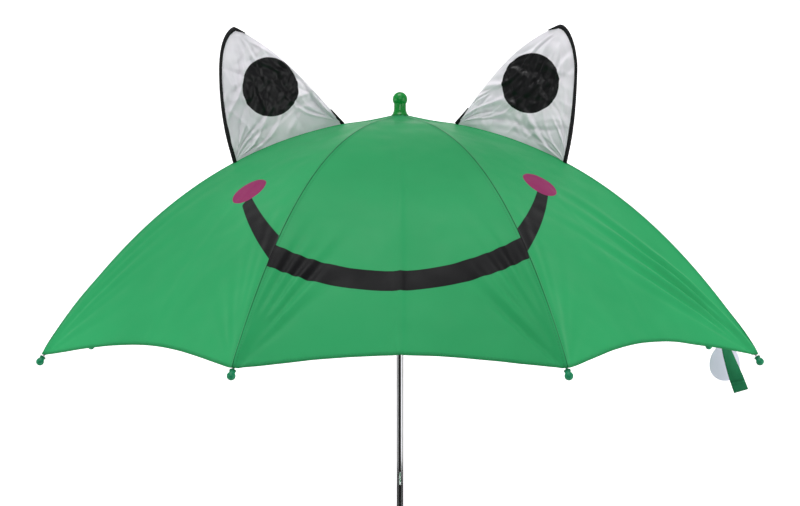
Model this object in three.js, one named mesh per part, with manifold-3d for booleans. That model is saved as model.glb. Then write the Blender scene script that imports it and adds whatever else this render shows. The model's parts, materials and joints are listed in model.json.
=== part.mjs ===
// A children's umbrella with a frog's face: a steel shaft with a crook handle, eight curved ribs and
// stretchers that fold around a sliding runner, an eight-panel canopy and two stand-up eye flaps.
// Units are millimetres and +Z is up. The origin is on the shaft's axis, in the middle of the grip.

import * as THREE from 'three';
import { mergeVertices } from 'three/addons/utils/BufferGeometryUtils.js';
import Module from 'manifold-3d';

const wasm = await Module();
wasm.setup();

// ---------------------------------------------------------------- driving dimensions

const RIB_COUNT = 8;
const TIP_PLANE = 262; // height of the open rib tips above the grip
const TIP_RADIUS = 400; // shaft axis to the middle of a tip ball
const CANOPY_HEIGHT = 264; // tip plane to the fabric's top at the shaft
const CROWN_SLOPE = 0.113; // slope of the canopy at the shaft, in radians
const HEM_SLOPE = 0.998; // slope of the canopy at the tips, in radians
const CROWN_REACH = 155.7; // length of the profile curve's handle at the shaft
const HEM_REACH = 220.6; // length of the profile curve's handle at the tips
const HEM_RISE = 20; // height of a panel's hem, halfway between two tips
const PANEL_SAG = 0.015; // how far a panel sags inward, as a share of its radius
const FABRIC = 0.8; // thickness of the canopy solid
const SEAM_GAP = 0.3; // space between neighbouring canopy sectors
const CORNER_SETBACK = 8; // fabric corner to the middle of the tip ball

const FIT = 0.3; // space between pieces that touch
const PIVOT_RADIUS = 8; // ribs turn on the crown wire, stretchers on the runner wire
const CROWN_PIVOT = 257; // height of the crown wire above the tip plane
const RIB_WIRE = 1.2; // radius of a rib
const RIB_DROP = 2.6; // fabric's outer face to the middle of a rib
const JOINT_AT = 0.4365; // place of the stretcher's rivet along the canopy profile
const LUG_DROP = 4.2; // middle of a rib to its rivet
const STRETCHER_WIRE = 1.1;
const RING_WIRE = 0.5; // radius of the crown wire and the runner wire
const EYE_RADIUS = 2; // outer radius of the loop at a rib's or stretcher's inner end
const PLATE = 2; // thickness of the loops and rivet lugs
const SLOT = 3; // width of the slots in the crown and the runner

const SHAFT_RADIUS = 4;
const SHAFT_WALL = 0.8;
const SHAFT_TOP = 279.5; // above the tip plane
const TIP_CLOSED = 13; // shaft axis to a tip ball when the umbrella is closed
const CATCH_NOSE = 13; // length of a catch's sloping nose
const CATCH_LEG = 16; // length of the spring strip behind the nose
const CATCH_WIDTH = 1.8;
const RUNNER_LENGTH = 53; // runner wire to the runner's lower edge
const RUNNER_HEAD = 4.4; // runner wire to the runner's upper face
const WINDOW_FOOT = 4.7; // runner's lower edge to the window for the closed umbrella's catch

const HANDLE_TOP = 38; // heights from here on are above the grip
const HANDLE_RADIUS = 8;
const CROOK_RADIUS = 25;
const CROOK_START = -24;
const CROOK_END = -10; // the crook's flat free end
const SHAFT_BOTTOM = 8;

const STRAP_AT = 0.42; // place of the closing strap across its panel, from rib to rib
const STRAP_WIDTH = 15;
const STRAP_DROP = 52;

// ---------------------------------------------------------------- materials

function material(colour, roughness, metalness) {
  return new THREE.MeshStandardMaterial({ color: colour, roughness, metalness });
}

const canopyGreen = material(0x43a96b, 0.5, 0);
const eyeWhite = material(0xc4c0c8, 0.4, 0);
const strapGreen = material(0x1d6a40, 0.6, 0);
const plasticGreen = material(0x197a37, 0.35, 0);
const tipGreen = material(0x329d75, 0.4, 0);
const nylonBlack = material(0x1c1c1c, 0.5, 0);
const chrome = material(0xc8ccd0, 0.15, 1);
const steel = material(0x9a9ea3, 0.35, 1);
const card = material(0xdde0ef, 0.7, 0);

// ---------------------------------------------------------------- solids

function solidOf(geometry) {
  const bare = geometry.clone();
  bare.deleteAttribute('normal');
  bare.deleteAttribute('uv');
  const merged = mergeVertices(bare, 1e-4);
  return new wasm.Manifold(new wasm.Mesh({
    numProp: 3,
    vertProperties: new Float32Array(merged.attributes.position.array),
    triVerts: new Uint32Array(merged.index.array),
  }));
}

function geometryOf(solid) {
  const mesh = solid.getMesh();
  const geometry = new THREE.BufferGeometry();
  geometry.setAttribute('position', new THREE.BufferAttribute(mesh.vertProperties, 3));
  geometry.setIndex(new THREE.BufferAttribute(mesh.triVerts, 1));
  geometry.computeVertexNormals();
  return geometry;
}

function box(width, depth, height, x, y, z) {
  return new THREE.BoxGeometry(width, depth, height).translate(x, y, z);
}

// A ring or disc about the Z axis, from one radius and height to another.
function ring(inner, outer, low, high, sides) {
  const outline = [
    new THREE.Vector2(inner, low),
    new THREE.Vector2(outer, low),
    new THREE.Vector2(outer, high),
    new THREE.Vector2(inner, high),
    new THREE.Vector2(inner, low),
  ];
  return turned(outline, sides);
}

// LatheGeometry turns about Y, so the result is stood up along Z.
function turned(outline, sides) {
  return new THREE.LatheGeometry(outline, sides).rotateX(Math.PI / 2);
}

// A round bar lying along Y, the direction of every hinge pin of a rib.
function crossBar(radius, length, x, z, sides = 10) {
  return new THREE.CylinderGeometry(radius, radius, length, sides).translate(x, 0, z);
}

function circle(radius, sides) {
  const outline = new THREE.Shape();
  for (let i = 0; i < sides; i += 1) {
    const turn = (2 * Math.PI * i) / sides;
    const place = [radius * Math.cos(turn), radius * Math.sin(turn)];
    if (i === 0) outline.moveTo(...place);
    else outline.lineTo(...place);
  }
  return outline;
}

function bar(path, radius, sides, steps) {
  return new THREE.ExtrudeGeometry(circle(radius, sides), {
    steps,
    bevelEnabled: false,
    extrudePath: path,
  });
}

function named(name, geometry, look) {
  const mesh = new THREE.Mesh(geometry, look);
  mesh.name = name;
  return mesh;
}

// ---------------------------------------------------------------- canopy profile

// In a rib's own frame X runs out from the shaft, Y across the rib and Z up from the tip plane.
// The fabric's outer face along a rib is one curve, from the shaft to just above the tip ball.
const hemEnd = new THREE.Vector2(
  TIP_RADIUS + RIB_DROP * Math.sin(HEM_SLOPE),
  RIB_DROP * Math.cos(HEM_SLOPE),
);
const profile = new THREE.CubicBezierCurve(
  new THREE.Vector2(0, CANOPY_HEIGHT),
  new THREE.Vector2(
    CROWN_REACH * Math.cos(CROWN_SLOPE),
    CANOPY_HEIGHT - CROWN_REACH * Math.sin(CROWN_SLOPE),
  ),
  new THREE.Vector2(
    hemEnd.x - HEM_REACH * Math.cos(HEM_SLOPE),
    hemEnd.y + HEM_REACH * Math.sin(HEM_SLOPE),
  ),
  hemEnd,
);

// The profile point at t, moved inward by depth at a right angle to the fabric.
function underFabric(t, depth) {
  const place = profile.getPoint(t);
  const along = profile.getTangent(t);
  return new THREE.Vector2(place.x + along.y * depth, place.y - along.x * depth);
}

const crownPivot = new THREE.Vector2(PIVOT_RADIUS, CROWN_PIVOT);
const rivet = underFabric(JOINT_AT, RIB_DROP + LUG_DROP);
const runnerPivot = new THREE.Vector2(PIVOT_RADIUS, 2 * rivet.y - CROWN_PIVOT);

// The stretcher is as long as the rib from its pivot to its rivet, and the crown wire and the runner
// wire are alike, so the three pivots stay an isosceles triangle: a rib that turns down by an angle
// turns its stretcher by twice that against the rib, and the runner slides straight down the shaft.
function leanFromShaft(place) {
  return Math.atan2(place.x - crownPivot.x, crownPivot.y - place.y);
}

const tip = new THREE.Vector2(TIP_RADIUS, 0);
const closedTipLean = Math.asin((TIP_CLOSED - PIVOT_RADIUS) / tip.distanceTo(crownPivot));
const foldAngle = leanFromShaft(tip) - closedTipLean;
const closedReach = 2 * rivet.distanceTo(crownPivot) * Math.cos(leanFromShaft(rivet) - foldAngle);
const closedRunnerHeight = CROWN_PIVOT - closedReach;

const stopPinHeight = runnerPivot.y + RUNNER_HEAD + 2;
const topCatchEdge = runnerPivot.y - RUNNER_LENGTH - FIT; // flat upper edge of the open catch's nose
const bottomCatchEdge = closedRunnerHeight - RUNNER_LENGTH + WINDOW_FOOT + FIT; // flat lower edge

// ---------------------------------------------------------------- ribs, rivets and tips

const RIB_STEPS = 16;
const RIB_CURVE_START = 0.12; // a rib leaves the crown wire straight and meets the fabric here
const RIB_END = 0.9985; // the rib's end inside its tip ball

function ribPath() {
  const points = [new THREE.Vector3(crownPivot.x + EYE_RADIUS - FIT, 0, crownPivot.y)];
  const count = 12;
  for (let i = 0; i <= count; i += 1) {
    const t = RIB_CURVE_START + ((RIB_END - RIB_CURVE_START) * i) / count;
    const place = underFabric(t, RIB_DROP);
    points.push(new THREE.Vector3(place.x, 0, place.y));
  }
  return new THREE.CatmullRomCurve3(points);
}

function ribShape() {
  const loop = crossBar(EYE_RADIUS, PLATE, crownPivot.x, crownPivot.y);
  const loopHole = crossBar(RING_WIRE + 1.2 * FIT, 2 * PLATE, crownPivot.x, crownPivot.y, 8);
  const middle = underFabric(JOINT_AT, RIB_DROP);
  const lugDisc = crossBar(EYE_RADIUS + 0.2, PLATE, rivet.x, rivet.y);
  const lugWeb = new THREE.BoxGeometry(2 * EYE_RADIUS, PLATE, LUG_DROP);
  lugWeb.rotateY(Math.atan2(middle.x - rivet.x, middle.y - rivet.y));
  lugWeb.translate((middle.x + rivet.x) / 2, 0, (middle.y + rivet.y) / 2);
  const lugHole = crossBar(RIVET_RADIUS + FIT, 2 * PLATE, rivet.x, rivet.y, 8);
  const whole = solidOf(bar(ribPath(), RIB_WIRE, 8, RIB_STEPS))
    .add(solidOf(loop))
    .add(solidOf(lugDisc))
    .add(solidOf(lugWeb))
    .subtract(solidOf(loopHole))
    .subtract(solidOf(lugHole));
  return geometryOf(whole);
}

const RIVET_RADIUS = 0.8;
const RIVET_HEAD = 1.8;
const CHEEK = 1; // thickness of each side of a stretcher's fork
const FORK_HALF = PLATE / 2 + FIT + CHEEK;

function rivetShape() {
  const head = FORK_HALF + FIT;
  const outline = [
    new THREE.Vector2(0, -head - CHEEK),
    new THREE.Vector2(RIVET_HEAD * 0.7, -head - CHEEK),
    new THREE.Vector2(RIVET_HEAD, -head),
    new THREE.Vector2(RIVET_RADIUS, -head),
    new THREE.Vector2(RIVET_RADIUS, head),
    new THREE.Vector2(RIVET_HEAD, head),
    new THREE.Vector2(RIVET_HEAD * 0.7, head + CHEEK),
    new THREE.Vector2(0, head + CHEEK),
  ];
  return new THREE.LatheGeometry(outline, 8).translate(rivet.x, 0, rivet.y);
}

const BALL_RADIUS = 4;
const COLLAR_RADIUS = 2.2;
const COLLAR_LENGTH = 6.2; // ball's middle to the collar's open end

function tipShape() {
  const bore = RIB_WIRE + FIT;
  const outline = [new THREE.Vector2(0, -BALL_RADIUS)];
  const meeting = Math.asin(COLLAR_RADIUS / BALL_RADIUS);
  const arcs = 5;
  for (let i = 1; i <= arcs; i += 1) {
    const turn = ((Math.PI - meeting) * i) / arcs;
    outline.push(new THREE.Vector2(BALL_RADIUS * Math.sin(turn), -BALL_RADIUS * Math.cos(turn)));
  }
  outline.push(new THREE.Vector2(COLLAR_RADIUS, COLLAR_LENGTH));
  outline.push(new THREE.Vector2(bore, COLLAR_LENGTH));
  outline.push(new THREE.Vector2(bore, -BALL_RADIUS / 2));
  outline.push(new THREE.Vector2(0, -BALL_RADIUS / 2));
  const tilt = Math.PI / 2 - HEM_SLOPE;
  return turned(outline, 8).rotateY(-tilt).translate(TIP_RADIUS, 0, 0);
}

// ---------------------------------------------------------------- stretchers

const FORK_BACK = 3.4; // rivet to the solid bridge of the fork
const FORK_LENGTH = 8;

function stretcherShape() {
  const lean = Math.atan2(rivet.y - runnerPivot.y, rivet.x - runnerPivot.x);
  const length = rivet.distanceTo(runnerPivot);
  const start = EYE_RADIUS - FIT;
  const wire = new THREE.LineCurve3(
    new THREE.Vector3(start, 0, 0),
    new THREE.Vector3(length - FORK_LENGTH + 1, 0, 0),
  );
  let whole = solidOf(bar(wire, STRETCHER_WIRE, 8, 1)).add(solidOf(crossBar(EYE_RADIUS, PLATE, 0, 0)));
  const middle = length - (FORK_LENGTH + FORK_BACK) / 2;
  const bridge = box(FORK_LENGTH - FORK_BACK, 2 * FORK_HALF, 3, middle, 0, 0);
  whole = whole.add(solidOf(bridge));
  for (const side of [-1, 1]) {
    const across = side * (FORK_HALF - CHEEK / 2);
    const cheek = box(FORK_BACK + 1, CHEEK, 3, length - FORK_BACK / 2 - 0.5, across, 0);
    const rounded = crossBar(EYE_RADIUS + 0.2, CHEEK, length, 0).translate(0, across, 0);
    whole = whole.add(solidOf(cheek)).add(solidOf(rounded));
  }
  whole = whole.subtract(solidOf(crossBar(RING_WIRE + 1.2 * FIT, 2 * PLATE, 0, 0, 8)));
  whole = whole.subtract(solidOf(crossBar(RIVET_RADIUS + FIT, 4 * FORK_HALF, length, 0, 8)));
  return geometryOf(whole).rotateY(-lean).translate(runnerPivot.x, 0, runnerPivot.y);
}

// ---------------------------------------------------------------- canopy

const cornerT = 1 - CORNER_SETBACK / (3 * HEM_REACH);

// Where the profile reaches a height, found by halving.
function profileAtHeight(height) {
  let low = 0;
  let high = 1;
  for (let i = 0; i < 30; i += 1) {
    const middle = (low + high) / 2;
    if (profile.getPoint(middle).y > height) low = middle;
    else high = middle;
  }
  return low;
}

const midHemT = profileAtHeight(HEM_RISE);

// Where the hem crosses a panel: across runs from 0 at one rib to 1 at the next.
function hemT(across) {
  return cornerT - (cornerT - midHemT) * 4 * across * (1 - across);
}

// A point of the canopy: down runs from 0 at the shaft to 1 at the hem. The panel is stretched
// straight from rib to rib and sags a little inward in its middle.
function panelPoint(down, across, depth) {
  const t = shaftHoleT + (hemT(across) - shaftHoleT) * down;
  const place = underFabric(t, depth);
  const sag = PANEL_SAG * place.x * 4 * across * (1 - across);
  const along = profile.getTangent(t);
  const out = place.x + along.y * sag;
  const step = (2 * Math.PI) / RIB_COUNT;
  return new THREE.Vector3(
    out * (1 - across + across * Math.cos(step)),
    out * across * Math.sin(step),
    place.y - along.x * sag,
  );
}

const SHAFT_HOLE = 4.8; // radius of the hole in the canopy for the shaft
const shaftHoleT = SHAFT_HOLE / (3 * CROWN_REACH);
const CANOPY_ROWS = 10;
const CANOPY_COLUMNS = 6;

// One sector: the fabric from the middle of one panel to the middle of the next, sewn to one rib.
function sectorShape() {
  const places = [];
  for (const depth of [0, FABRIC]) {
    for (let row = 0; row <= CANOPY_ROWS; row += 1) {
      for (let column = 0; column <= CANOPY_COLUMNS; column += 1) {
        const side = (2 * column) / CANOPY_COLUMNS - 1;
        const point = panelPoint(row / CANOPY_ROWS, Math.abs(side) / 2, depth);
        const trim = (Math.abs(side) * SEAM_GAP) / 2 / Math.cos(Math.PI / RIB_COUNT);
        places.push(point.x, Math.sign(side) * (point.y - trim), point.z);
      }
    }
  }
  const wide = CANOPY_COLUMNS + 1;
  const layer = wide * (CANOPY_ROWS + 1);
  const faces = [];
  const quad = (a, b, c, d) => faces.push(a, b, c, a, c, d);
  for (let row = 0; row < CANOPY_ROWS; row += 1) {
    for (let column = 0; column < CANOPY_COLUMNS; column += 1) {
      const a = row * wide + column;
      quad(a, a + wide, a + wide + 1, a + 1);
      quad(a + layer, a + layer + 1, a + layer + wide + 1, a + layer + wide);
    }
    const left = row * wide;
    const right = left + CANOPY_COLUMNS;
    quad(left, left + layer, left + layer + wide, left + wide);
    quad(right, right + wide, right + wide + layer, right + layer);
  }
  for (let column = 0; column < CANOPY_COLUMNS; column += 1) {
    const hem = CANOPY_ROWS * wide + column;
    quad(column, column + 1, column + 1 + layer, column + layer);
    quad(hem, hem + layer, hem + layer + 1, hem + 1);
  }
  const geometry = new THREE.BufferGeometry();
  geometry.setAttribute('position', new THREE.Float32BufferAttribute(places, 3));
  geometry.setIndex(faces);
  geometry.computeVertexNormals();
  return geometry;
}

// ---------------------------------------------------------------- eye flaps

const EYE_APEX = new THREE.Vector2(194, 352);
const EYE_SIDE = new THREE.Vector2(210, 300); // the outer edge where it stands furthest out
const EYE_THICK = 2.4;
const EYE_BASE_IN = 66; // the base seam's inner and outer ends, from the shaft axis
const EYE_BASE_OUT = 192;
const EYE_LIFT = 0.5; // base edge above the fabric
const EYE_FLARE = new THREE.Vector2(12, 20); // pull of the outer edge where it leaves the base
const EYE_SIDE_REACH = 50; // lengths of the outline's curve handles from here on
const EYE_SHOULDER = 22;
const EYE_CAP = 10;
const EYE_BROW = 38;
const EYE_CLIMB = 30;
const EYE_CURVE_STEPS = 7; // straight pieces in each bend of an eye's outline

function profileAtRadius(radius) {
  let low = 0;
  let high = 1;
  for (let i = 0; i < 30; i += 1) {
    const middle = (low + high) / 2;
    if (profile.getPoint(middle).x < radius) low = middle;
    else high = middle;
  }
  return low;
}

function eyeShape() {
  const baseSteps = 8;
  const inT = profileAtRadius(EYE_BASE_IN);
  const outT = profileAtRadius(EYE_BASE_OUT);
  const inner = underFabric(inT, -EYE_LIFT);
  const outer = underFabric(outT, -EYE_LIFT);
  const outline = new THREE.Shape();
  outline.moveTo(inner.x, inner.y);
  for (let i = 1; i <= baseSteps; i += 1) {
    const place = underFabric(inT + ((outT - inT) * i) / baseSteps, -EYE_LIFT);
    outline.lineTo(place.x, place.y);
  }
  const sideLow = EYE_SIDE.y - EYE_SIDE_REACH;
  const sideHigh = EYE_APEX.y - EYE_SHOULDER;
  const flare = outer.clone().add(EYE_FLARE);
  outline.bezierCurveTo(flare.x, flare.y, EYE_SIDE.x, sideLow, EYE_SIDE.x, EYE_SIDE.y);
  outline.bezierCurveTo(EYE_SIDE.x, sideHigh, EYE_APEX.x + EYE_CAP, EYE_APEX.y, EYE_APEX.x, EYE_APEX.y);
  const brow = EYE_APEX.x - EYE_BROW;
  outline.bezierCurveTo(brow, EYE_APEX.y, inner.x + EYE_CLIMB, inner.y + EYE_CLIMB, inner.x, inner.y);
  const settings = { depth: EYE_THICK, bevelEnabled: false, curveSegments: EYE_CURVE_STEPS };
  const flat = new THREE.ExtrudeGeometry(outline, settings);
  return flat.rotateX(Math.PI / 2).translate(0, EYE_THICK / 2, 0);
}

// ---------------------------------------------------------------- crown, runner and their wires

const HUB_RADIUS = 10.2;
const HUB_SIDES = 24;
const HUB_BORE = SHAFT_RADIUS + 0.35;

function wireRing(height) {
  const wire = new THREE.TorusGeometry(PIVOT_RADIUS, RING_WIRE, 5, 24);
  return wire.translate(0, 0, height);
}

// The slots that the ribs or stretchers swing in, and the groove that holds their wire.
function slotted(solid, pivotHeight, low, high) {
  const inner = PIVOT_RADIUS - EYE_RADIUS - 1.2 * FIT;
  const groove = ring(PIVOT_RADIUS - RING_WIRE - FIT, 2 * HUB_RADIUS,
    pivotHeight - RING_WIRE - FIT, pivotHeight + RING_WIRE + FIT, HUB_SIDES);
  let cut = solid.subtract(solidOf(groove));
  for (let rib = 0; rib < RIB_COUNT; rib += 1) {
    const slot = box(HUB_RADIUS, SLOT, high - low, inner + HUB_RADIUS / 2, 0, (low + high) / 2);
    slot.rotateZ(ribTurn(rib));
    cut = cut.subtract(solidOf(slot));
  }
  return cut;
}

const CROWN_LOW = CROWN_PIVOT - 5.5;
const CROWN_HIGH = CROWN_PIVOT + 3.4;
const PIN_RADIUS = 0.9;
const CROWN_PIN = CROWN_LOW - 3; // height of the pin that fixes the crown to the shaft
const COLLAR_LOW = CROWN_PIN - 3;

function crownShape() {
  const outline = [
    new THREE.Vector2(HUB_BORE, COLLAR_LOW),
    new THREE.Vector2(6.6, COLLAR_LOW),
    new THREE.Vector2(7, CROWN_LOW),
    new THREE.Vector2(HUB_RADIUS - 1, CROWN_LOW),
    new THREE.Vector2(HUB_RADIUS, CROWN_LOW + 1.5),
    new THREE.Vector2(HUB_RADIUS, CROWN_HIGH - 1.5),
    new THREE.Vector2(HUB_RADIUS - 1.5, CROWN_HIGH),
    new THREE.Vector2(HUB_BORE, CROWN_HIGH),
    new THREE.Vector2(HUB_BORE, COLLAR_LOW),
  ];
  const whole = slotted(solidOf(turned(outline, HUB_SIDES)), CROWN_PIVOT, CROWN_LOW - 1, CROWN_HIGH + 1);
  return geometryOf(whole.subtract(solidOf(crossBar(PIN_RADIUS + FIT, 30, 0, CROWN_PIN, 10))));
}

const WINDOW_WIDTH = 4.6;
const GRIP_RADIUS = 9.5;

function runnerShape() {
  const pivot = runnerPivot.y;
  const foot = pivot - RUNNER_LENGTH;
  const bore = SHAFT_RADIUS + 0.4;
  const outline = [
    new THREE.Vector2(bore, foot),
    new THREE.Vector2(GRIP_RADIUS - 1.5, foot),
    new THREE.Vector2(GRIP_RADIUS, foot + 1.5),
    new THREE.Vector2(GRIP_RADIUS - 0.5, foot + 4),
    new THREE.Vector2(6.6, foot + 8),
    new THREE.Vector2(6.4, pivot - 14),
    new THREE.Vector2(7.2, pivot - 5),
    new THREE.Vector2(HUB_RADIUS, pivot - 4),
    new THREE.Vector2(HUB_RADIUS, pivot + RUNNER_HEAD - 1),
    new THREE.Vector2(HUB_RADIUS - 1, pivot + RUNNER_HEAD),
    new THREE.Vector2(bore, pivot + RUNNER_HEAD),
    new THREE.Vector2(bore, foot),
  ];
  const whole = slotted(solidOf(turned(outline, HUB_SIDES)), pivot, pivot - 4.2, pivot + 5);
  // The closed umbrella's catch springs out through this window.
  const windowFoot = foot + WINDOW_FOOT;
  const windowTop = windowFoot + CATCH_NOSE + 2;
  const opening = box(WINDOW_WIDTH, GRIP_RADIUS, windowTop - windowFoot,
    0, 1 - SHAFT_RADIUS - GRIP_RADIUS / 2, (windowTop + windowFoot) / 2);
  return geometryOf(whole.subtract(solidOf(opening)));
}

// ---------------------------------------------------------------- shaft, pins and catches

function catchSlot(flatEdge, toLeg) {
  const length = CATCH_NOSE + 5 * FIT;
  const middle = flatEdge + (toLeg * CATCH_NOSE) / 2;
  return box(CATCH_WIDTH + 2 * FIT, SHAFT_RADIUS, length, 0, -SHAFT_RADIUS, middle);
}

function shaftShape() {
  const bottom = SHAFT_BOTTOM - TIP_PLANE;
  let tube = solidOf(ring(SHAFT_RADIUS - SHAFT_WALL, SHAFT_RADIUS, bottom, SHAFT_TOP, 24));
  tube = tube.subtract(solidOf(catchSlot(topCatchEdge, -1)));
  tube = tube.subtract(solidOf(catchSlot(bottomCatchEdge, 1)));
  tube = tube.subtract(solidOf(crossBar(PIN_RADIUS + FIT, 30, 0, CROWN_PIN, 10)));
  return geometryOf(tube.subtract(solidOf(crossBar(PIN_RADIUS + FIT, 30, 0, stopPinHeight, 10))));
}

const NOSE_REACH = 7; // shaft axis to the nose's edge
const LEG_OUT = 2.8; // the spring strip's outer and inner face, from the shaft axis
const LEG_IN = 1.8;

// The flat spring strip lies inside the shaft, and its sloping nose comes out through the slot.
function catchShape(flatEdge, toLeg) {
  const outline = new THREE.Shape();
  const slopeEnd = flatEdge + toLeg * CATCH_NOSE;
  const legEnd = slopeEnd + toLeg * CATCH_LEG;
  outline.moveTo(-LEG_IN, flatEdge);
  outline.lineTo(-NOSE_REACH, flatEdge);
  outline.lineTo(-LEG_OUT, slopeEnd);
  outline.lineTo(-LEG_OUT, legEnd);
  outline.lineTo(-LEG_IN, legEnd);
  outline.closePath();
  const strip = new THREE.ExtrudeGeometry(outline, { depth: CATCH_WIDTH, bevelEnabled: false });
  strip.translate(0, 0, -CATCH_WIDTH / 2);
  // Stands the outline up: its X becomes Y, its Y becomes Z and its thickness lies along X.
  return strip.applyMatrix4(new THREE.Matrix4().makeBasis(
    new THREE.Vector3(0, 1, 0),
    new THREE.Vector3(0, 0, 1),
    new THREE.Vector3(1, 0, 0),
  ));
}

function pinShape(height, reach) {
  return crossBar(PIN_RADIUS, 2 * reach, 0, height);
}

// ---------------------------------------------------------------- ferrule and handle

function ferruleShape() {
  const base = CANOPY_HEIGHT + 0.1;
  const ball = 8.3;
  const ballMiddle = CANOPY_HEIGHT + 18.3;
  const neck = 6.2;
  const bore = SHAFT_RADIUS + FIT;
  const outline = [
    new THREE.Vector2(bore, base),
    new THREE.Vector2(8.7, base),
    new THREE.Vector2(8.9, base + 1),
    new THREE.Vector2(7.4, base + 2.8),
    new THREE.Vector2(neck, base + 5),
  ];
  const meeting = Math.asin(neck / ball);
  const arcs = 8;
  for (let i = 0; i <= arcs; i += 1) {
    const turn = meeting + ((Math.PI - meeting) * i) / arcs;
    const out = i === arcs ? 0 : ball * Math.sin(turn);
    outline.push(new THREE.Vector2(out, ballMiddle - ball * Math.cos(turn)));
  }
  outline.push(new THREE.Vector2(0, SHAFT_TOP + 1));
  outline.push(new THREE.Vector2(bore, SHAFT_TOP + 1));
  outline.push(new THREE.Vector2(bore, base));
  return turned(outline, 20);
}

const QUARTER = 0.5523; // handle length of a curve that draws a quarter circle of radius 1

function handleShape() {
  const r = CROOK_RADIUS;
  const at = (x, z) => new THREE.Vector3(x, 0, z);
  const path = new THREE.CurvePath();
  path.add(new THREE.LineCurve3(at(0, HANDLE_TOP), at(0, CROOK_START)));
  path.add(new THREE.CubicBezierCurve3(at(0, CROOK_START), at(0, CROOK_START - QUARTER * r),
    at(r - QUARTER * r, CROOK_START - r), at(r, CROOK_START - r)));
  path.add(new THREE.CubicBezierCurve3(at(r, CROOK_START - r), at(r + QUARTER * r, CROOK_START - r),
    at(2 * r, CROOK_START - QUARTER * r), at(2 * r, CROOK_START)));
  path.add(new THREE.LineCurve3(at(2 * r, CROOK_START), at(2 * r, CROOK_END)));
  const crook = solidOf(bar(path, HANDLE_RADIUS, 12, 24));
  const bore = new THREE.CylinderGeometry(SHAFT_RADIUS + FIT, SHAFT_RADIUS + FIT,
    HANDLE_TOP - SHAFT_BOTTOM + 1, 24).rotateX(Math.PI / 2);
  bore.translate(0, 0, (HANDLE_TOP + SHAFT_BOTTOM - 1) / 2 + 0.5);
  return geometryOf(crook.subtract(solidOf(bore)));
}

// ---------------------------------------------------------------- closing strap and hang tag

const STRAP_THICK = 1;

function strapShape() {
  const hem = panelPoint(1, STRAP_AT, FABRIC);
  const strap = box(STRAP_THICK, STRAP_WIDTH, STRAP_DROP, 0, 0, -STRAP_DROP / 2 - FIT);
  return strap.rotateZ(Math.PI / RIB_COUNT).translate(hem.x - 1, hem.y, hem.z - 0.5);
}

const TAG_WIDTH = 34;
const TAG_HEIGHT = 42;
const TAG_THICK = 0.8;

function tagShape() {
  const outline = new THREE.Shape();
  const steps = 28;
  for (let i = 0; i < steps; i += 1) {
    const turn = (2 * Math.PI * i) / steps;
    const narrowing = 1 - 0.12 * Math.sin(turn);
    const place = [0.5 * TAG_WIDTH * Math.cos(turn) * narrowing, 0.5 * TAG_HEIGHT * Math.sin(turn)];
    if (i === 0) outline.moveTo(...place);
    else outline.lineTo(...place);
  }
  const hole = new THREE.Path();
  hole.absarc(0, 0.38 * TAG_HEIGHT, 1.6, 0, 2 * Math.PI, true);
  outline.holes.push(hole);
  const settings = { depth: TAG_THICK, bevelEnabled: false, curveSegments: 5 };
  return new THREE.ExtrudeGeometry(outline, settings).rotateX(Math.PI / 2);
}

// ---------------------------------------------------------------- assembly

// Ribs are numbered from the front right one, anticlockwise from above, and none faces straight
// to the front, so a whole panel does.
function ribTurn(rib) {
  return ((rib + 0.5) * 2 * Math.PI) / RIB_COUNT - Math.PI / 2;
}

const umbrella = new THREE.Group();

const handGrip = new THREE.Group();
handGrip.add(named('handle', handleShape(), plasticGreen));
umbrella.add(handGrip);

const frame = new THREE.Group();
frame.position.z = TIP_PLANE;
umbrella.add(frame);

const fixedPieces = [
  named('shaft', shaftShape(), chrome),
  named('ferrule', ferruleShape(), plasticGreen),
  named('crown', crownShape(), nylonBlack),
  named('crown_wire', wireRing(CROWN_PIVOT), steel),
  named('crown_pin', pinShape(CROWN_PIN, 6), steel),
  named('stop_pin', pinShape(stopPinHeight, 6.2), steel),
];
const catches = [
  named('top_catch', catchShape(topCatchEdge, -1), steel),
  named('bottom_catch', catchShape(bottomCatchEdge, 1), steel),
];
const runnerPieces = [
  named('runner', runnerShape(), nylonBlack),
  named('runner_wire', wireRing(runnerPivot.y), steel),
];
frame.add(...fixedPieces, ...catches, ...runnerPieces);

const shapes = {
  rib: [ribShape(), steel],
  rib_rivet: [rivetShape(), steel],
  tip: [tipShape(), tipGreen],
  stretcher: [stretcherShape(), steel],
  canopy: [sectorShape(), canopyGreen],
};
const RIGHT_EYE_RIB = 2;
const LEFT_EYE_RIB = 7;

for (let rib = 0; rib < RIB_COUNT; rib += 1) {
  const spoke = new THREE.Group();
  spoke.rotation.z = ribTurn(rib);
  for (const [kind, [shape, look]] of Object.entries(shapes)) {
    spoke.add(named(`${kind}_${rib + 1}`, shape, look));
  }
  if (rib + 1 === RIGHT_EYE_RIB) {
    spoke.add(named('eye_right', eyeShape(), eyeWhite));
    spoke.add(named('tie_strap', strapShape(), strapGreen));
  }
  if (rib + 1 === LEFT_EYE_RIB) spoke.add(named('eye_left', eyeShape(), eyeWhite));
  frame.add(spoke);
}

const tag = named('hang_tag', tagShape(), card);
tag.position.set(362, 4, -10);
frame.add(tag);

export default umbrella;
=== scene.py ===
# %% [markdown]
# # A child's frog umbrella
# The steel frame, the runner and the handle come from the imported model. The cloth, the plastic caps and
# every finish are made here. All lengths are in metres, +Z runs up the shaft, and the face looks along -Y.

# %% Load the frame
import json
import math

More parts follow.
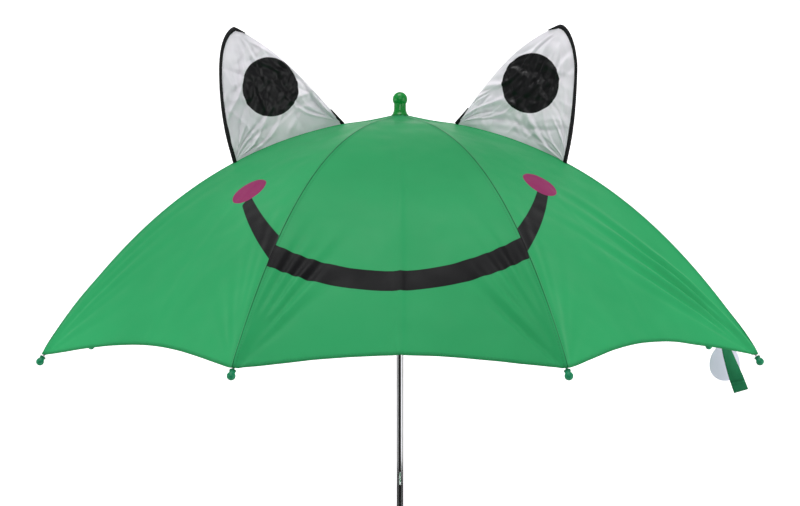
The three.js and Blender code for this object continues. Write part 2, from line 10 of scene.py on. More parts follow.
import bmesh
import bpy
import numpy as np
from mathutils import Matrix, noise


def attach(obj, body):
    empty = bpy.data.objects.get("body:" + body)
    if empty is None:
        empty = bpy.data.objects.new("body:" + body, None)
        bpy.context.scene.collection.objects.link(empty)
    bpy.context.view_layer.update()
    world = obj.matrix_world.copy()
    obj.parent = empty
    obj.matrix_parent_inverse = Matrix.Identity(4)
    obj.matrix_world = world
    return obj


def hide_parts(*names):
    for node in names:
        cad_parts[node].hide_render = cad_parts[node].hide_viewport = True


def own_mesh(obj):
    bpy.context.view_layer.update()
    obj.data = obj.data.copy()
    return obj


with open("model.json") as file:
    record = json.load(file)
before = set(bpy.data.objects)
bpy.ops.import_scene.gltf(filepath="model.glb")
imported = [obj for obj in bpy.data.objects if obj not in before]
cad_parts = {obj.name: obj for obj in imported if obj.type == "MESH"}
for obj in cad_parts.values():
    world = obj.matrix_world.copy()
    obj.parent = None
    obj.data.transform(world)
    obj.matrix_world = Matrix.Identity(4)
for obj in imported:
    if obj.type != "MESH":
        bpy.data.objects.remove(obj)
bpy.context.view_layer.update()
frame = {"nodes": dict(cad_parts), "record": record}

hinges = {joint["name"]: joint for joint in frame["record"]["behaviour"]["joints"]}
CROWN_PIVOT = 0.257  # rib hinges above the plane of the open tips
TIP_PLANE = hinges["rib_1_fold"]["pos_m"][2] - CROWN_PIVOT

# %% [markdown]
# ## Camera, floor and light
# A product picture of an umbrella is taken level, from about two metres, in front of a bright white sweep.
# The sweep stands behind as a glowing wall and shines through the thin cloth. Two big soft lamps at the
# sides light the low panels, and a glowing card stands beyond each. The room is bright overhead and dim
# along the horizon. With the dark card behind the camera, that leaves the upright steel shaft a dark middle
# between bright edges. The camera doesn't see the lamps or the cards, only what they light.

# %% Camera and floor
CAMERA_BACK, CAMERA_RISE = 2.0, 0.1115  # from the shaft, and above the tip plane
LENS = 80.96

lens = bpy.data.cameras.new("camera")
lens.lens = LENS
camera = bpy.data.objects.new("camera", lens)
camera.location = (0, -CAMERA_BACK, TIP_PLANE + CAMERA_RISE)
camera.rotation_euler = (math.pi / 2, 0, 0)
bpy.context.collection.objects.link(camera)
bpy.context.scene.camera = camera
bpy.context.scene.view_settings.view_transform = "Standard"

FLOOR_DROP, FLOOR_RADIUS = 0.9, 6.4
bpy.ops.mesh.primitive_circle_add(vertices=96, radius=FLOOR_RADIUS, fill_type="NGON",
                                  location=(0, 0, -FLOOR_DROP))
floor = bpy.context.object
floor.name = "floor"
bpy.ops.mesh.primitive_plane_add(size=1, location=(0, 6.5, 0.9), rotation=(math.pi / 2, 0, 0))
sweep = bpy.context.object
sweep.name, sweep.scale = "white_sweep", (18.0, 9.0, 1)

def side_card(name, place, bearing, wide=1.9, tall=1.1):
    bpy.ops.mesh.primitive_plane_add(size=1, location=place, rotation=(math.pi / 2, 0, bearing))
    card = bpy.context.object
    card.name, card.scale = name, (wide, tall, 1)
    card.visible_camera = False
    return card

card_right = side_card("card_right", (1.9, -1.15, 0.42), math.radians(59))
card_left = side_card("card_left", (-2.15, -0.45, 0.42), math.radians(-78))
dark_card = side_card("dark_card", (0, -2.6, 0.1), 0, 2.4, 1.4)
print("camera height", round(camera.location.z, 4))

# %% Lights
def soft_lamp(name, place, wide, tall, watts, mirrored=True):
    lamp = bpy.data.lights.new(name, "AREA")
    lamp.shape, lamp.size, lamp.size_y, lamp.energy = "RECTANGLE", wide, tall, watts
    thing = bpy.data.objects.new(name, lamp)
    thing.location = place
    aim = -np.array(place) + np.array((0, 0, TIP_PLANE + 0.1))
    pitch = math.atan2(math.hypot(aim[0], aim[1]), -aim[2])
    thing.rotation_euler = (pitch, 0, math.atan2(-aim[0], aim[1]))
    thing.visible_camera = False
    thing.visible_glossy = mirrored
    bpy.context.collection.objects.link(thing)

HORIZON_LIGHT, SKY_LIGHT = 0.14, 0.30
soft_lamp("lamp_right", (2.1, -0.5, 0.05), 1.9, 1.0, 30, mirrored=False)
soft_lamp("lamp_left", (-2.1, -0.5, 0.15), 1.9, 1.0, 28, mirrored=False)
soft_lamp("lamp_top", (-0.2, -0.5, 2.3), 1.2, 1.2, 25)
soft_lamp("lamp_front", (0.0, -2.3, 1.2), 1.0, 0.6, 11)

def soft_room():
    world = bpy.data.worlds.new("soft_room")
    world.use_nodes = True
    tree = world.node_tree
    background = tree.nodes["Background"]
    direction = tree.nodes.new("ShaderNodeTexCoord")
    height = tree.nodes.new("ShaderNodeSeparateXYZ")
    strength = tree.nodes.new("ShaderNodeMapRange")
    strength.interpolation_type = "SMOOTHSTEP"
    for name, value in (("From Min", 0.06), ("From Max", 0.5),
                        ("To Min", HORIZON_LIGHT), ("To Max", SKY_LIGHT)):
        strength.inputs[name].default_value = value
    tree.links.new(direction.outputs["Generated"], height.inputs[0])
    tree.links.new(height.outputs["Z"], strength.inputs["Value"])
    tree.links.new(strength.outputs[0], background.inputs["Strength"])
    background.inputs["Color"].default_value = (1, 1, 1, 1)
    return world

bpy.context.scene.world = soft_room()

# %% [markdown]
# ## Finishes
# A finish is a small chain of nodes: a colour with slow variation, a fine relief, and one shader. These
# helpers keep each chain to a few lines, so the recipe for each material stays easy to read.

# %% Node helpers
class Finish:
    def __init__(self, name, roughness, metallic=0.0, **settings):
        self.material = bpy.data.materials.new(name)
        self.material.use_nodes = True
        self.tree = self.material.node_tree
        self.shader = self.tree.nodes["Principled BSDF"]
        self.shader.inputs["Roughness"].default_value = roughness
        self.shader.inputs["Metallic"].default_value = metallic
        for socket, value in settings.items():
            self.shader.inputs[socket.replace("_", " ")].default_value = value

    def put(self, kind, settings=None, **inputs):
        node = self.tree.nodes.new("ShaderNode" + kind)
        for name, value in (settings or {}).items():
            setattr(node, name, value)
        for name, value in inputs.items():
            key = int(name[1:]) if name[0] == "i" and name[1:].isdigit() else name.replace("_", " ")
            self.feed(node.inputs[key], value)
        return node

    def feed(self, socket, value):
        if isinstance(value, bpy.types.NodeSocket):
            self.tree.links.new(value, socket)
        elif isinstance(value, bpy.types.Node):
            self.tree.links.new(value.outputs[0], socket)
        else:
            socket.default_value = value

    def maths(self, operation, first, second=0.0):
        return self.put("Math", {"operation": operation}, i0=first, i1=second)

    def ramp(self, value, low, high, start=0.0, end=1.0):
        return self.put("MapRange", {"interpolation_type": "SMOOTHSTEP"}, Value=value, From_Min=low,
                        From_Max=high, To_Min=start, To_Max=end)

    def blend(self, amount, first, second):
        node = self.tree.nodes.new("ShaderNodeMix")
        node.data_type = "RGBA"
        self.feed(node.inputs[0], amount)
        self.feed(node.inputs[6], first)
        self.feed(node.inputs[7], second)
        return node.outputs[2]

    def noise(self, scale, detail=3.0, place=None):
        place = place or self.put("TexCoord").outputs["Object"]
        return self.put("TexNoise", Vector=place, Scale=scale, Detail=detail).outputs["Fac"]

    def stored(self, name):
        return self.put("Attribute", {"attribute_name": name}).outputs["Fac"]

    def relief(self, height, strength, depth):
        return self.put("Bump", Strength=strength, Distance=depth, Height=height).outputs[0]

    def shine_through(self, colour, share):
        """Part of the light that falls on the far side comes through the sheet."""
        glow = self.put("BsdfTranslucent", Color=colour)
        mixed = self.put("MixShader", Fac=share, i1=self.shader, i2=glow)
        self.feed(self.tree.nodes["Material Output"].inputs["Surface"], mixed)

def solid(red, green, blue):
    return (red, green, blue, 1.0)

print("helpers ready")

# %% [markdown]
# Umbrella nylon is a plain weave, far too fine to model. Two crossed waves make its relief. Light passes
# through it, so the shader is part Principled and part Translucent. The face is ink on the cloth: each
# point of the sheet stores how far it lies inside the printed shape, which keeps the ink's edge sharp.

# %% Canopy nylon
CLOTH_GREEN, CLOTH_SHADE = solid(0.030, 0.360, 0.126), solid(0.026, 0.325, 0.112)
INK_BLACK, INK_MAGENTA = solid(0.005, 0.005, 0.006), solid(0.275, 0.022, 0.115)
THREAD_PITCH = 0.00045  # one thread of the weave
STITCH_PITCH = 0.0032
INK_BLUR = 0.00035

def weave(finish, strength):
    spot = finish.put("UVMap", {"uv_map": "cloth"})
    threads = []
    for direction in ("X", "Y"):
        wave = finish.put("TexWave", {"bands_direction": direction}, Vector=spot,
                          Scale=0.31 / THREAD_PITCH / 2, Distortion=0.4)
        threads.append(wave.outputs["Fac"])
    crossed = finish.maths("MULTIPLY", threads[0], threads[1])
    return finish.relief(crossed, strength, 0.0001)

def stitches(finish, distance, centre, spot):
    off_line = finish.maths("ABSOLUTE", finish.maths("SUBTRACT", distance, centre))
    on_line = finish.ramp(off_line, 0.0004, 0.0009, 1.0, 0.0)
    step = finish.maths("FRACT", finish.maths("DIVIDE", spot, STITCH_PITCH))
    return finish.maths("MULTIPLY", on_line, finish.ramp(step, 0.25, 0.35))

def canopy_finish():
    nylon = Finish("canopy_nylon", 0.46, Sheen_Weight=0.05, Sheen_Roughness=0.4, Specular_IOR_Level=0.11)
    spot = nylon.put("SeparateXYZ", Vector=nylon.put("UVMap", {"uv_map": "cloth"}))
    green = nylon.blend(nylon.ramp(nylon.noise(7.0), 0.3, 0.7), CLOTH_GREEN, CLOTH_SHADE)
    seam = nylon.stored("rib_gap")
    hem = nylon.stored("hem_gap")
    # Painted shade: the cloth's colour darkens in a band along the hem, where the turned layer lets less light
    # through.
    hem_shade = nylon.ramp(hem, 0.0008, 0.0018, 1.0, 0.0)
    green = nylon.blend(nylon.maths("MULTIPLY", hem_shade, 0.6), green, solid(0.012, 0.2, 0.06))
    # Painted shade: a dark line in the cloth's colour along each seam, for the shade in the sewn ridge.
    welt = nylon.ramp(seam, 0.0003, 0.0010, 1.0, 0.0)
    green = nylon.blend(nylon.maths("MULTIPLY", welt, 0.9), green, solid(0.006, 0.10, 0.035))
    thread = nylon.maths("MAXIMUM", stitches(nylon, seam, 0.0030, spot.outputs["Y"]),
                         stitches(nylon, hem, 0.0022, spot.outputs["X"]))
    green = nylon.blend(nylon.maths("MULTIPLY", thread, 0.3), green, solid(0.02, 0.22, 0.08))
    mouth = nylon.ramp(nylon.stored("mouth_ink"), -INK_BLUR, INK_BLUR)
    cheek = nylon.ramp(nylon.stored("cheek_ink"), -INK_BLUR, INK_BLUR)
    colour = nylon.blend(cheek, nylon.blend(mouth, green, INK_BLACK), INK_MAGENTA)
    nylon.feed(nylon.shader.inputs["Base Color"], colour)
    nylon.feed(nylon.shader.inputs["Roughness"], nylon.ramp(nylon.noise(30.0), 0.3, 0.7, 0.40, 0.52))
    nylon.feed(nylon.shader.inputs["Normal"], weave(nylon, 0.25))
    nylon.shine_through(colour, 0.24)
    return nylon.material

CANOPY_NYLON = canopy_finish()
print(CANOPY_NYLON.name, len(CANOPY_NYLON.node_tree.nodes), "nodes")

# %% [markdown]
# The eye flaps are the same kind of nylon in white, with a glossy black disc printed on the front layer
# and black tape along the outer edge. The strap is the canopy's nylon in two layers, with painted shade: its
# green is darker than the canopy's, as it hangs in the canopy's shade.

# %% White nylon, strap, tape and card
def eye_finish():
    cloth = Finish("eye_nylon", 0.42, Sheen_Weight=0.08, Sheen_Roughness=0.4, Specular_IOR_Level=0.3)
    white = cloth.blend(cloth.ramp(cloth.noise(22.0), 0.35, 0.65), solid(0.90, 0.875, 0.92),
                        solid(0.82, 0.80, 0.85))
    pupil = cloth.ramp(cloth.stored("pupil_ink"), -INK_BLUR, INK_BLUR)
    colour = cloth.blend(pupil, white, INK_BLACK)
    cloth.feed(cloth.shader.inputs["Base Color"], colour)
    cloth.shine_through(colour, 0.18)
    cloth.feed(cloth.shader.inputs["Roughness"], cloth.put("MapRange", Value=pupil, To_Min=0.44, To_Max=0.36))
    cloth.feed(cloth.shader.inputs["Normal"], weave(cloth, 0.2))
    return cloth.material

def plain_weave(name, light, dark, roughness, strength=0.4, **settings):
    cloth = Finish(name, roughness, **settings)
    colour = cloth.blend(cloth.ramp(cloth.noise(60.0), 0.3, 0.7), light, dark)
    cloth.feed(cloth.shader.inputs["Base Color"], colour)
    uneven = cloth.ramp(cloth.noise(90.0), 0.3, 0.7, roughness - 0.06, roughness + 0.06)
    cloth.feed(cloth.shader.inputs["Roughness"], uneven)
    cloth.feed(cloth.shader.inputs["Normal"], weave(cloth, strength))
    return cloth.material

EYE_NYLON = eye_finish()
BINDING = plain_weave("binding_tape", solid(0.005, 0.005, 0.006), solid(0.009, 0.009, 0.010), 0.6,
                      Specular_IOR_Level=0.2)
# Painted shade: the strap's green is a darker copy of the canopy's, for a strap that hangs in shade.
SHADED_STRAP_NYLON = plain_weave("shaded_strap_nylon", solid(0.012, 0.155, 0.062), solid(0.009, 0.125, 0.05), 0.6,
                          Specular_IOR_Level=0.12)
print("cloths", EYE_NYLON.name, BINDING.name, SHADED_STRAP_NYLON.name)

# %% [markdown]
# Moulded plastic has a faint orange-peel relief and small gloss changes. Plated steel is nearly a mirror,
# with fine drawing marks along its length and a little dulling in random patches.

# %% Plastics and metals
def moulded(name, light, dark, roughness, grain=0.08, glow=0.0, **settings):
    plastic = Finish(name, roughness, **settings)
    colour = plastic.blend(plastic.ramp(plastic.noise(45.0), 0.35, 0.65), light, dark)
    plastic.feed(plastic.shader.inputs["Base Color"], colour)
    if glow:
        plastic.shine_through(colour, glow)
    uneven = plastic.ramp(plastic.noise(120.0), 0.3, 0.7, roughness - 0.05, roughness + 0.06)
    plastic.feed(plastic.shader.inputs["Roughness"], uneven)
    plastic.feed(plastic.shader.inputs["Normal"], plastic.relief(plastic.noise(900.0), grain, 0.0001))
    return plastic.material

def plated(name, bright, worn, roughness, drawn=0.12, stretch=40.0):
    metal = Finish(name, roughness, metallic=1.0)
    place = metal.put("Mapping", Vector=metal.put("TexCoord").outputs["Object"], Scale=(1, 1, 1 / stretch))
    streak = metal.noise(1500.0, 2.0, place.outputs[0])
    colour = metal.blend(metal.ramp(metal.noise(35.0), 0.45, 0.75), bright, worn)
    metal.feed(metal.shader.inputs["Base Color"], colour)
    dulled = metal.ramp(streak, 0.3, 0.7, roughness * 0.7, roughness * 1.4)
    metal.feed(metal.shader.inputs["Roughness"], dulled)
    metal.feed(metal.shader.inputs["Normal"], metal.relief(streak, drawn, 0.00005))
    return metal.material

PLASTIC_GREEN, PLASTIC_SHADE = solid(0.005, 0.235, 0.035), solid(0.004, 0.20, 0.028)
CAP_PLASTIC = moulded("cap_plastic", PLASTIC_GREEN, PLASTIC_SHADE, 0.26, Specular_IOR_Level=0.35)
HANDLE_PLASTIC = moulded("handle_plastic", PLASTIC_GREEN, PLASTIC_SHADE, 0.26, Specular_IOR_Level=0.4)
TIP_PLASTIC = moulded("tip_plastic", solid(0.007, 0.21, 0.09), solid(0.006, 0.18, 0.075), 0.3,
                      Specular_IOR_Level=0.25)
HUB_NYLON = moulded("hub_nylon", solid(0.013, 0.013, 0.014), solid(0.02, 0.02, 0.021), 0.48, grain=0.2)
TAG_CARD = moulded("tag_card", solid(0.92, 0.92, 1.0), solid(0.90, 0.90, 0.985), 0.6, grain=0.15, glow=0.68)
CHROME = plated("shaft_chrome", solid(0.42, 0.425, 0.435), solid(0.36, 0.365, 0.37), 0.08, drawn=0.05)
RIB_STEEL = plated("rib_steel", solid(0.52, 0.53, 0.55), solid(0.36, 0.36, 0.37), 0.3)
SPRING_STEEL = plated("spring_steel", solid(0.56, 0.57, 0.59), solid(0.42, 0.42, 0.43), 0.22)
FLOOR_PAINT = moulded("floor_paint", solid(0.82, 0.82, 0.82), solid(0.80, 0.80, 0.80), 0.7)
floor.data.materials.append(FLOOR_PAINT)
SWEEP_LIGHT = Finish("sweep_light", 0.9, Emission_Color=solid(1, 1, 1), Emission_Strength=1.05).material
sweep.data.materials.append(SWEEP_LIGHT)
for card, strength in ((card_right, 1.3), (card_left, 0.55)):
    light = Finish(card.name + "_light", 0.9, Emission_Color=solid(1, 1, 1), Emission_Strength=strength)
    card.data.materials.append(light.material)
DARK_CLOTH = moulded("dark_cloth", solid(0.01, 0.01, 0.01), solid(0.012, 0.012, 0.012), 0.9,
                     Specular_IOR_Level=0.1)
dark_card.data.materials.append(DARK_CLOTH)
print("finishes", len(bpy.data.materials))

# %% [markdown]
# ## The shape of the canopy
# Each rib bends into the same curve, and a panel spans two ribs. Pulled only along the ribs, it sags a
# little between them. So a point on the cloth needs just three numbers: its panel, its place across the
# panel, and its place down the curve. The folds are then small lifts added to that smooth shape.

# %% The ribs' curve
RIBS = 8
RIB_STEP = 2 * math.pi / RIBS
TIP_RADIUS, CANOPY_HEIGHT = 0.400, 0.264
CROWN_SLOPE, HEM_SLOPE = 0.113, 0.998
CROWN_REACH, HEM_REACH = 0.1557, 0.2206
RIB_DROP = 0.0026
CORNER_SETBACK, HEM_HOOK = 0.008, 1.35
HEM_RISE = {1: 0.029, 2: 0.024, 3: 0.020, 4: 0.020, 5: 0.020, 6: 0.022, 7: 0.026, 8: 0.022}
PANEL_SAG = 0.015
SHAFT_HOLE = 0.0048

top = np.array((0, CANOPY_HEIGHT))
end = np.array((TIP_RADIUS + RIB_DROP * math.sin(HEM_SLOPE), RIB_DROP * math.cos(HEM_SLOPE)))
top_handle = top + CROWN_REACH * np.array((math.cos(CROWN_SLOPE), -math.sin(CROWN_SLOPE)))
end_handle = end - HEM_REACH * np.array((math.cos(HEM_SLOPE), -math.sin(HEM_SLOPE)))

def curve_point(t):
    t = np.asarray(t, float)[..., None]
    return (1 - t)**3 * top + 3 * (1 - t)**2 * t * top_handle + 3 * (1 - t) * t * t * end_handle + t**3 * end

def curve_way(t):
    t = np.asarray(t, float)[..., None]
    way = ((1 - t)**2 * (top_handle - top) + 2 * (1 - t) * t * (end_handle - top_handle)
           + t * t * (end - end_handle))
    return way / np.linalg.norm(way, axis=-1, keepdims=True)

CURVE_STEPS = 2000
steps = np.linspace(0, 1, CURVE_STEPS + 1)
curve = curve_point(steps)
arc = np.concatenate(([0], np.cumsum(np.linalg.norm(np.diff(curve, axis=0), axis=1))))
hole_t = float(np.interp(SHAFT_HOLE, curve[:, 0], steps))
corner_t = 1 - CORNER_SETBACK / (3 * HEM_REACH)
middle_t = {panel: float(np.interp(-rise, -curve[:, 1], steps)) for panel, rise in HEM_RISE.items()}
corner_arc = float(np.interp(corner_t, steps, arc))

def down_at(t):
    return np.interp(t, steps, arc)

def hem_t(panel, across):
    arch = np.abs(4 * across * (1 - across))**HEM_HOOK
    return corner_t - (corner_t - middle_t[panel]) * arch

print("rib curve", round(arc[-1], 4), "m")

# %% [markdown]
# Cloth pulled towards a rib's tip gathers into narrow folds that fan out from the tip. Each fold is a
# ridge with a shallow valley beside it. A soft crease runs down the middle of every panel, where it is
# folded in two when the umbrella is shut, and slow noise keeps the rest from looking like sheet metal.

# %% Folds
def azimuth(rib):
    return RIB_STEP * (rib - 0.5)

# Each fold is its angle from the seam, its height, its length and its spread, the last three for a ridge
# that starts at the tip. The pulled front corners and the right tip have their own; the rest are alike.
PULLED_CORNERS = {
    (8, 0): ((0.08, 0.0022, 0.070, 0.034), (0.19, 0.0031, 0.062, 0.038), (0.31, 0.0029, 0.066, 0.040),
             (0.47, 0.0018, 0.050, 0.070)),
    (8, 1): ((0.065, 0.0022, 0.070, 0.034), (0.17, 0.0028, 0.066, 0.038), (0.29, 0.0020, 0.060, 0.045),
             (0.44, 0.0028, 0.055, 0.065)),
    (1, 1): ((0.30, 0.0032, 0.085, 0.030), (0.42, 0.0040, 0.080, 0.034), (0.60, 0.0030, 0.085, 0.038),
             (0.76, 0.0014, 0.070, 0.050)),
}
FOLD_LEAST = 0.0030  # no fold is narrower than this
VALLEY_DEPTH, VALLEY_ASIDE = 0.9, 1.7  # shares of the ridge's height and width
CREASE_WIDTH, FRONT_CREASE, OTHER_CREASE = 0.0035, 0.0013, 0.0002
WELT_WIDTH, WELT_HEIGHT = 0.0018, 0.0004
QUIET_CORNERS = {(7, 1): 0.35, (1, 0): 0.35, (7, 0): 0.6}

def fan_of(panel, corner):
    if (panel, corner) in PULLED_CORNERS:
        return PULLED_CORNERS[panel, corner]
    rng = np.random.default_rng(100 * panel + corner)
    angles = np.array((0.085, 0.17, 0.27, 0.43, 0.66)) * rng.uniform(0.85, 1.15, 5)
    heights = np.array((0.0016, 0.0022, 0.0018, 0.0013, 0.0009)) * rng.uniform(0.7, 1.25, 5)
    lengths = np.array((0.080, 0.070, 0.060, 0.050, 0.045)) * rng.uniform(0.8, 1.25, 5)
    spreads = np.array((0.028, 0.036, 0.048, 0.065, 0.09)) * rng.uniform(0.85, 1.2, 5)
    return list(zip(angles, heights * QUIET_CORNERS.get((panel, corner), 1.0), lengths, spreads))

FANS = {(panel, corner): fan_of(panel, corner) for panel in range(1, RIBS + 1) for corner in (0, 1)}

def slow_noise(points, size, seed):
    shifted = np.asarray(points) / size + seed
    flat = [noise.noise(p) for p in shifted.reshape(-1, 3)]
    return np.array(flat).reshape(shifted.shape[:-1])

def span_at(t):
    """The straight width of a panel from seam to seam."""
    return curve_point(t)[..., 0] * 2 * math.sin(RIB_STEP / 2)

def fold_lift(panel, across, t):
    down, width = down_at(t), span_at(t)
    lift = np.zeros(np.broadcast(across, t).shape)
    for corner in (0, 1):
        aside = width * (across if corner == 0 else 1 - across)
        up = corner_arc - down
        reach, turn = np.hypot(aside, up), np.arctan2(aside, up)
        for angle, height, length, spread in FANS[panel, corner]:
            part = reach / length
            window = part * np.exp(0.5 * (1 - part * part))
            wide = np.hypot(spread, FOLD_LEAST / np.maximum(reach, 0.001))
            ridge = (np.exp(-((turn - angle) / wide)**2)
                     - VALLEY_DEPTH * np.exp(-((turn - angle - VALLEY_ASIDE * wide) / wide)**2))
            lift += height * window * ridge
    crease = np.exp(-((across - 0.5) * width / CREASE_WIDTH)**2)
    lift += (FRONT_CREASE if panel == RIBS else OTHER_CREASE) * crease * np.clip((down - 0.12) / 0.15, 0, 1)
    welt = np.exp(-((np.minimum(across, 1 - across) * width) / WELT_WIDTH)**2)
    return lift + WELT_HEIGHT * welt

def crown_lift(radius):
    """The ferrule draws the cloth up into a small cone, with a shallow dip round its foot."""
    return 0.0022 * np.exp(-(radius / 0.013)**1.5) - 0.0011 * np.exp(-((radius - 0.042) / 0.02)**2)

def smooth_point(panel, across, t, lift=0.0):
    spot, way = curve_point(t), curve_way(t)
    off = lift - PANEL_SAG * spot[..., 0] * 4 * across * (1 - across)
    out = spot[..., 0] - way[..., 1] * off
    height = spot[..., 1] + way[..., 0] * off + TIP_PLANE
    first, second = azimuth(panel), azimuth(panel + 1)
    x = out * ((1 - across) * math.sin(first) + across * math.sin(second))
    y = -out * ((1 - across) * math.cos(first) + across * math.cos(second))
    return np.stack(np.broadcast_arrays(x, y, height), -1)

def cloth_point(panel, across, t):
    rest = smooth_point(panel, across, t)
    radius = curve_point(t)[..., 0]
    from_seam = np.minimum(across, 1 - across) * radius * 2 * math.sin(RIB_STEP / 2)
    loose = np.clip(from_seam / 0.02, 0, 1)
    lift = fold_lift(panel, across, t) + crown_lift(radius)
    lift = lift + loose * (0.0012 * slow_noise(rest, 0.07, 3.1) + 0.0005 * slow_noise(rest, 0.022, 8.7))
    return smooth_point(panel, across, t, lift)

print("front middle", np.round(cloth_point(8, np.array(0.5), np.array(0.6)), 4))

# %% [markdown]
# ## The printed face
# The mouth is one wide band that crosses three panels, and its halves don't quite meet at the seams
# because the panels were printed before they were sewn. Its middle line is a shallow bow on the front panel
# and a climbing curve on the two beside it. It thins towards its ends, which the two round cheeks cover.

# %% Mouth and cheeks
MOUTH_LOW, MOUTH_CURL = 391, 0.065  # mm down at the front, and mm less for each squared degree
MOUTH_SIDE_START, MOUTH_SIDE_CLIMB, MOUTH_SIDE_EASE = 348, 4.62, 0.021
SEAM_TURN, MOUTH_REACH = 22.5, 43.0  # degrees from the front
MOUTH_SKEW = 0.23  # mm that the left half sits lower for each degree
MOUTH_HALF_FRONT, MOUTH_HALF_SIDE, MOUTH_THINS, MOUTH_END = 12.2, 11.8, 0.28, 42.0
CHEEKS = ((-44.4, 258.8), (42.3, 247.6))
CHEEK_RADIUS = 21.3

def mouth_depth(turn, down, front):
    side = np.abs(turn)
    past = np.clip(side, SEAM_TURN, MOUTH_REACH) - SEAM_TURN
    if front:
        half = MOUTH_HALF_FRONT
        line, slope = MOUTH_LOW - MOUTH_CURL * side**2, -2 * MOUTH_CURL * side
    else:
        half = MOUTH_HALF_SIDE - MOUTH_THINS * (side - SEAM_TURN)
        line = MOUTH_SIDE_START - MOUTH_SIDE_CLIMB * past + MOUTH_SIDE_EASE * past**2
        slope = 2 * MOUTH_SIDE_EASE * past - MOUTH_SIDE_CLIMB
    middle = line - MOUTH_SKEW * turn
    radius = np.interp(down, arc * 1000, curve[:, 0] * 1000)
    lean = np.arctan2(slope, np.radians(1) * radius)
    inside = half - np.abs(down - middle) * np.cos(lean)
    return np.minimum(inside, (MOUTH_END - side) * np.radians(1) * radius)

def cheek_depth(turn, down):
    depth = np.full(np.shape(turn), -1000.0)
    for centre, height in CHEEKS:
        radius = np.interp(down, arc * 1000, curve[:, 0] * 1000)
        aside = np.radians(turn - centre) * radius
        depth = np.maximum(depth, CHEEK_RADIUS - np.hypot(aside, down - height))
    return depth

print("mouth centre", mouth_depth(np.array(0.0), np.array(391.0), True), "mm inside")

# %% [markdown]
# ## The canopy's sheets
# The real canopy is eight triangles of nylon sewn edge to edge along the ribs. For a frame that folds, it
# is easier to cut the same sheet halfway between the ribs, so that each piece stays with its own rib.
# Neighbouring pieces share their edge points and their normals, so no line shows where they meet. The hem
# is turned under by extra rows that run back beneath the cloth.

# %% Sheet grid
SIDE_COLUMNS, SHEET_ROWS = 54, 150
HEM_DEPTH, HEM_STAND = 0.0026, 0.0006
HEM_TURN = ((0.0006, 0.25), (0.0009, 0.8), (0.0003, 1.0), (-0.0012, 1.0), (-HEM_DEPTH, 1.0))  # along, under

def sector_columns():
    half = np.linspace(0, 1, SIDE_COLUMNS + 1)
    spread = 0.35 * half + 0.65 * half**1.7
    spread = 0.5 * spread / spread[-1]
    inner = np.concatenate((-spread[:0:-1], spread))
    last = spread[-1] - spread[-2]
    return np.concatenate(([-0.5 - last], inner, [0.5 + last]))

def sector_halves(rib, columns):
    """The two panels that a rib's sheet reaches into, with the columns that lie in each."""
    before = columns < 0
    yield before, columns[before] + 1, (rib - 2) % RIBS + 1
    yield ~before, columns[~before], rib

def sector_points(rib, columns, rows):
    grid = np.zeros((len(rows), len(columns), 3))
    for chosen, across, panel in sector_halves(rib, columns):
        last = hem_t(panel, across)
        t = hole_t + (last - hole_t) * rows[:, None]
        grid[:, chosen] = cloth_point(panel, across[None, :], t)
    return grid

def grid_normals(grid):
    down, right = np.gradient(grid, axis=0), np.gradient(grid, axis=1)
    normal = np.cross(down, right)
    return normal / np.maximum(np.linalg.norm(normal, axis=-1, keepdims=True), 1e-12)

def sheet_grid(rib):
    columns = sector_columns()
    rows = np.linspace(0, 1, SHEET_ROWS)**0.9
    grid = sector_points(rib, columns, rows)
    outward = grid_normals(grid)[-1]
    edge = grid[-1]
    way = edge - grid[-2]
    way /= np.linalg.norm(way, axis=-1, keepdims=True)
    turned = [edge + way * along - outward * HEM_STAND * under for along, under in HEM_TURN]
    return columns, rows, np.concatenate((grid, np.array(turned)))

print("one sheet", (SHEET_ROWS + len(HEM_TURN)) * (2 * SIDE_COLUMNS + 1), "points")

# %% Grid to mesh
def grid_faces(rows, columns):
    first = np.arange((rows - 1) * columns).reshape(rows - 1, columns)[:, :-1].ravel()
    return np.stack((first, first + columns, first + columns + 1, first + 1), -1)

def tube_faces(count, around):
    """Joins a row of rings into a tube and closes both of its ends."""
    faces = []
    for i in range(count - 1):
        for k in range(around):
            n = (k + 1) % around
            faces.append((i * around + k, i * around + n, (i + 1) * around + n, (i + 1) * around + k))
    faces.append(tuple(range(around))[::-1])
    faces.append(tuple((count - 1) * around + k for k in range(around)))
    return faces

def new_piece(name, points, faces, finish):
    assert np.isfinite(np.asarray(points, float)).all(), name
    mesh = bpy.data.meshes.new(name)
    places = [tuple(p) for p in np.asarray(points).reshape(-1, 3)]
    mesh.from_pydata(places, [], [tuple(int(i) for i in f) for f in faces])
    mesh.polygons.foreach_set("use_smooth", [True] * len(mesh.polygons))
    mesh.materials.append(finish)
    mesh.update()
    piece = bpy.data.objects.new(name, mesh)
    bpy.context.collection.objects.link(piece)
    return piece

def store(piece, name, values):
    layer = piece.data.attributes.new(name, "FLOAT", "POINT")
    layer.data.foreach_set("value", np.asarray(values, np.float32).ravel())

def store_cloth_map(piece, across, down):
    layer = piece.data.uv_layers.new(name="cloth")
    corners = np.empty(len(piece.data.loops), dtype=np.int32)
    piece.data.loops.foreach_get("vertex_index", corners)
    pair = np.stack((np.ravel(across), np.ravel(down)), -1)[corners]
    layer.data.foreach_set("uv", pair.astype(np.float32).ravel())

print("mesh helpers ready")

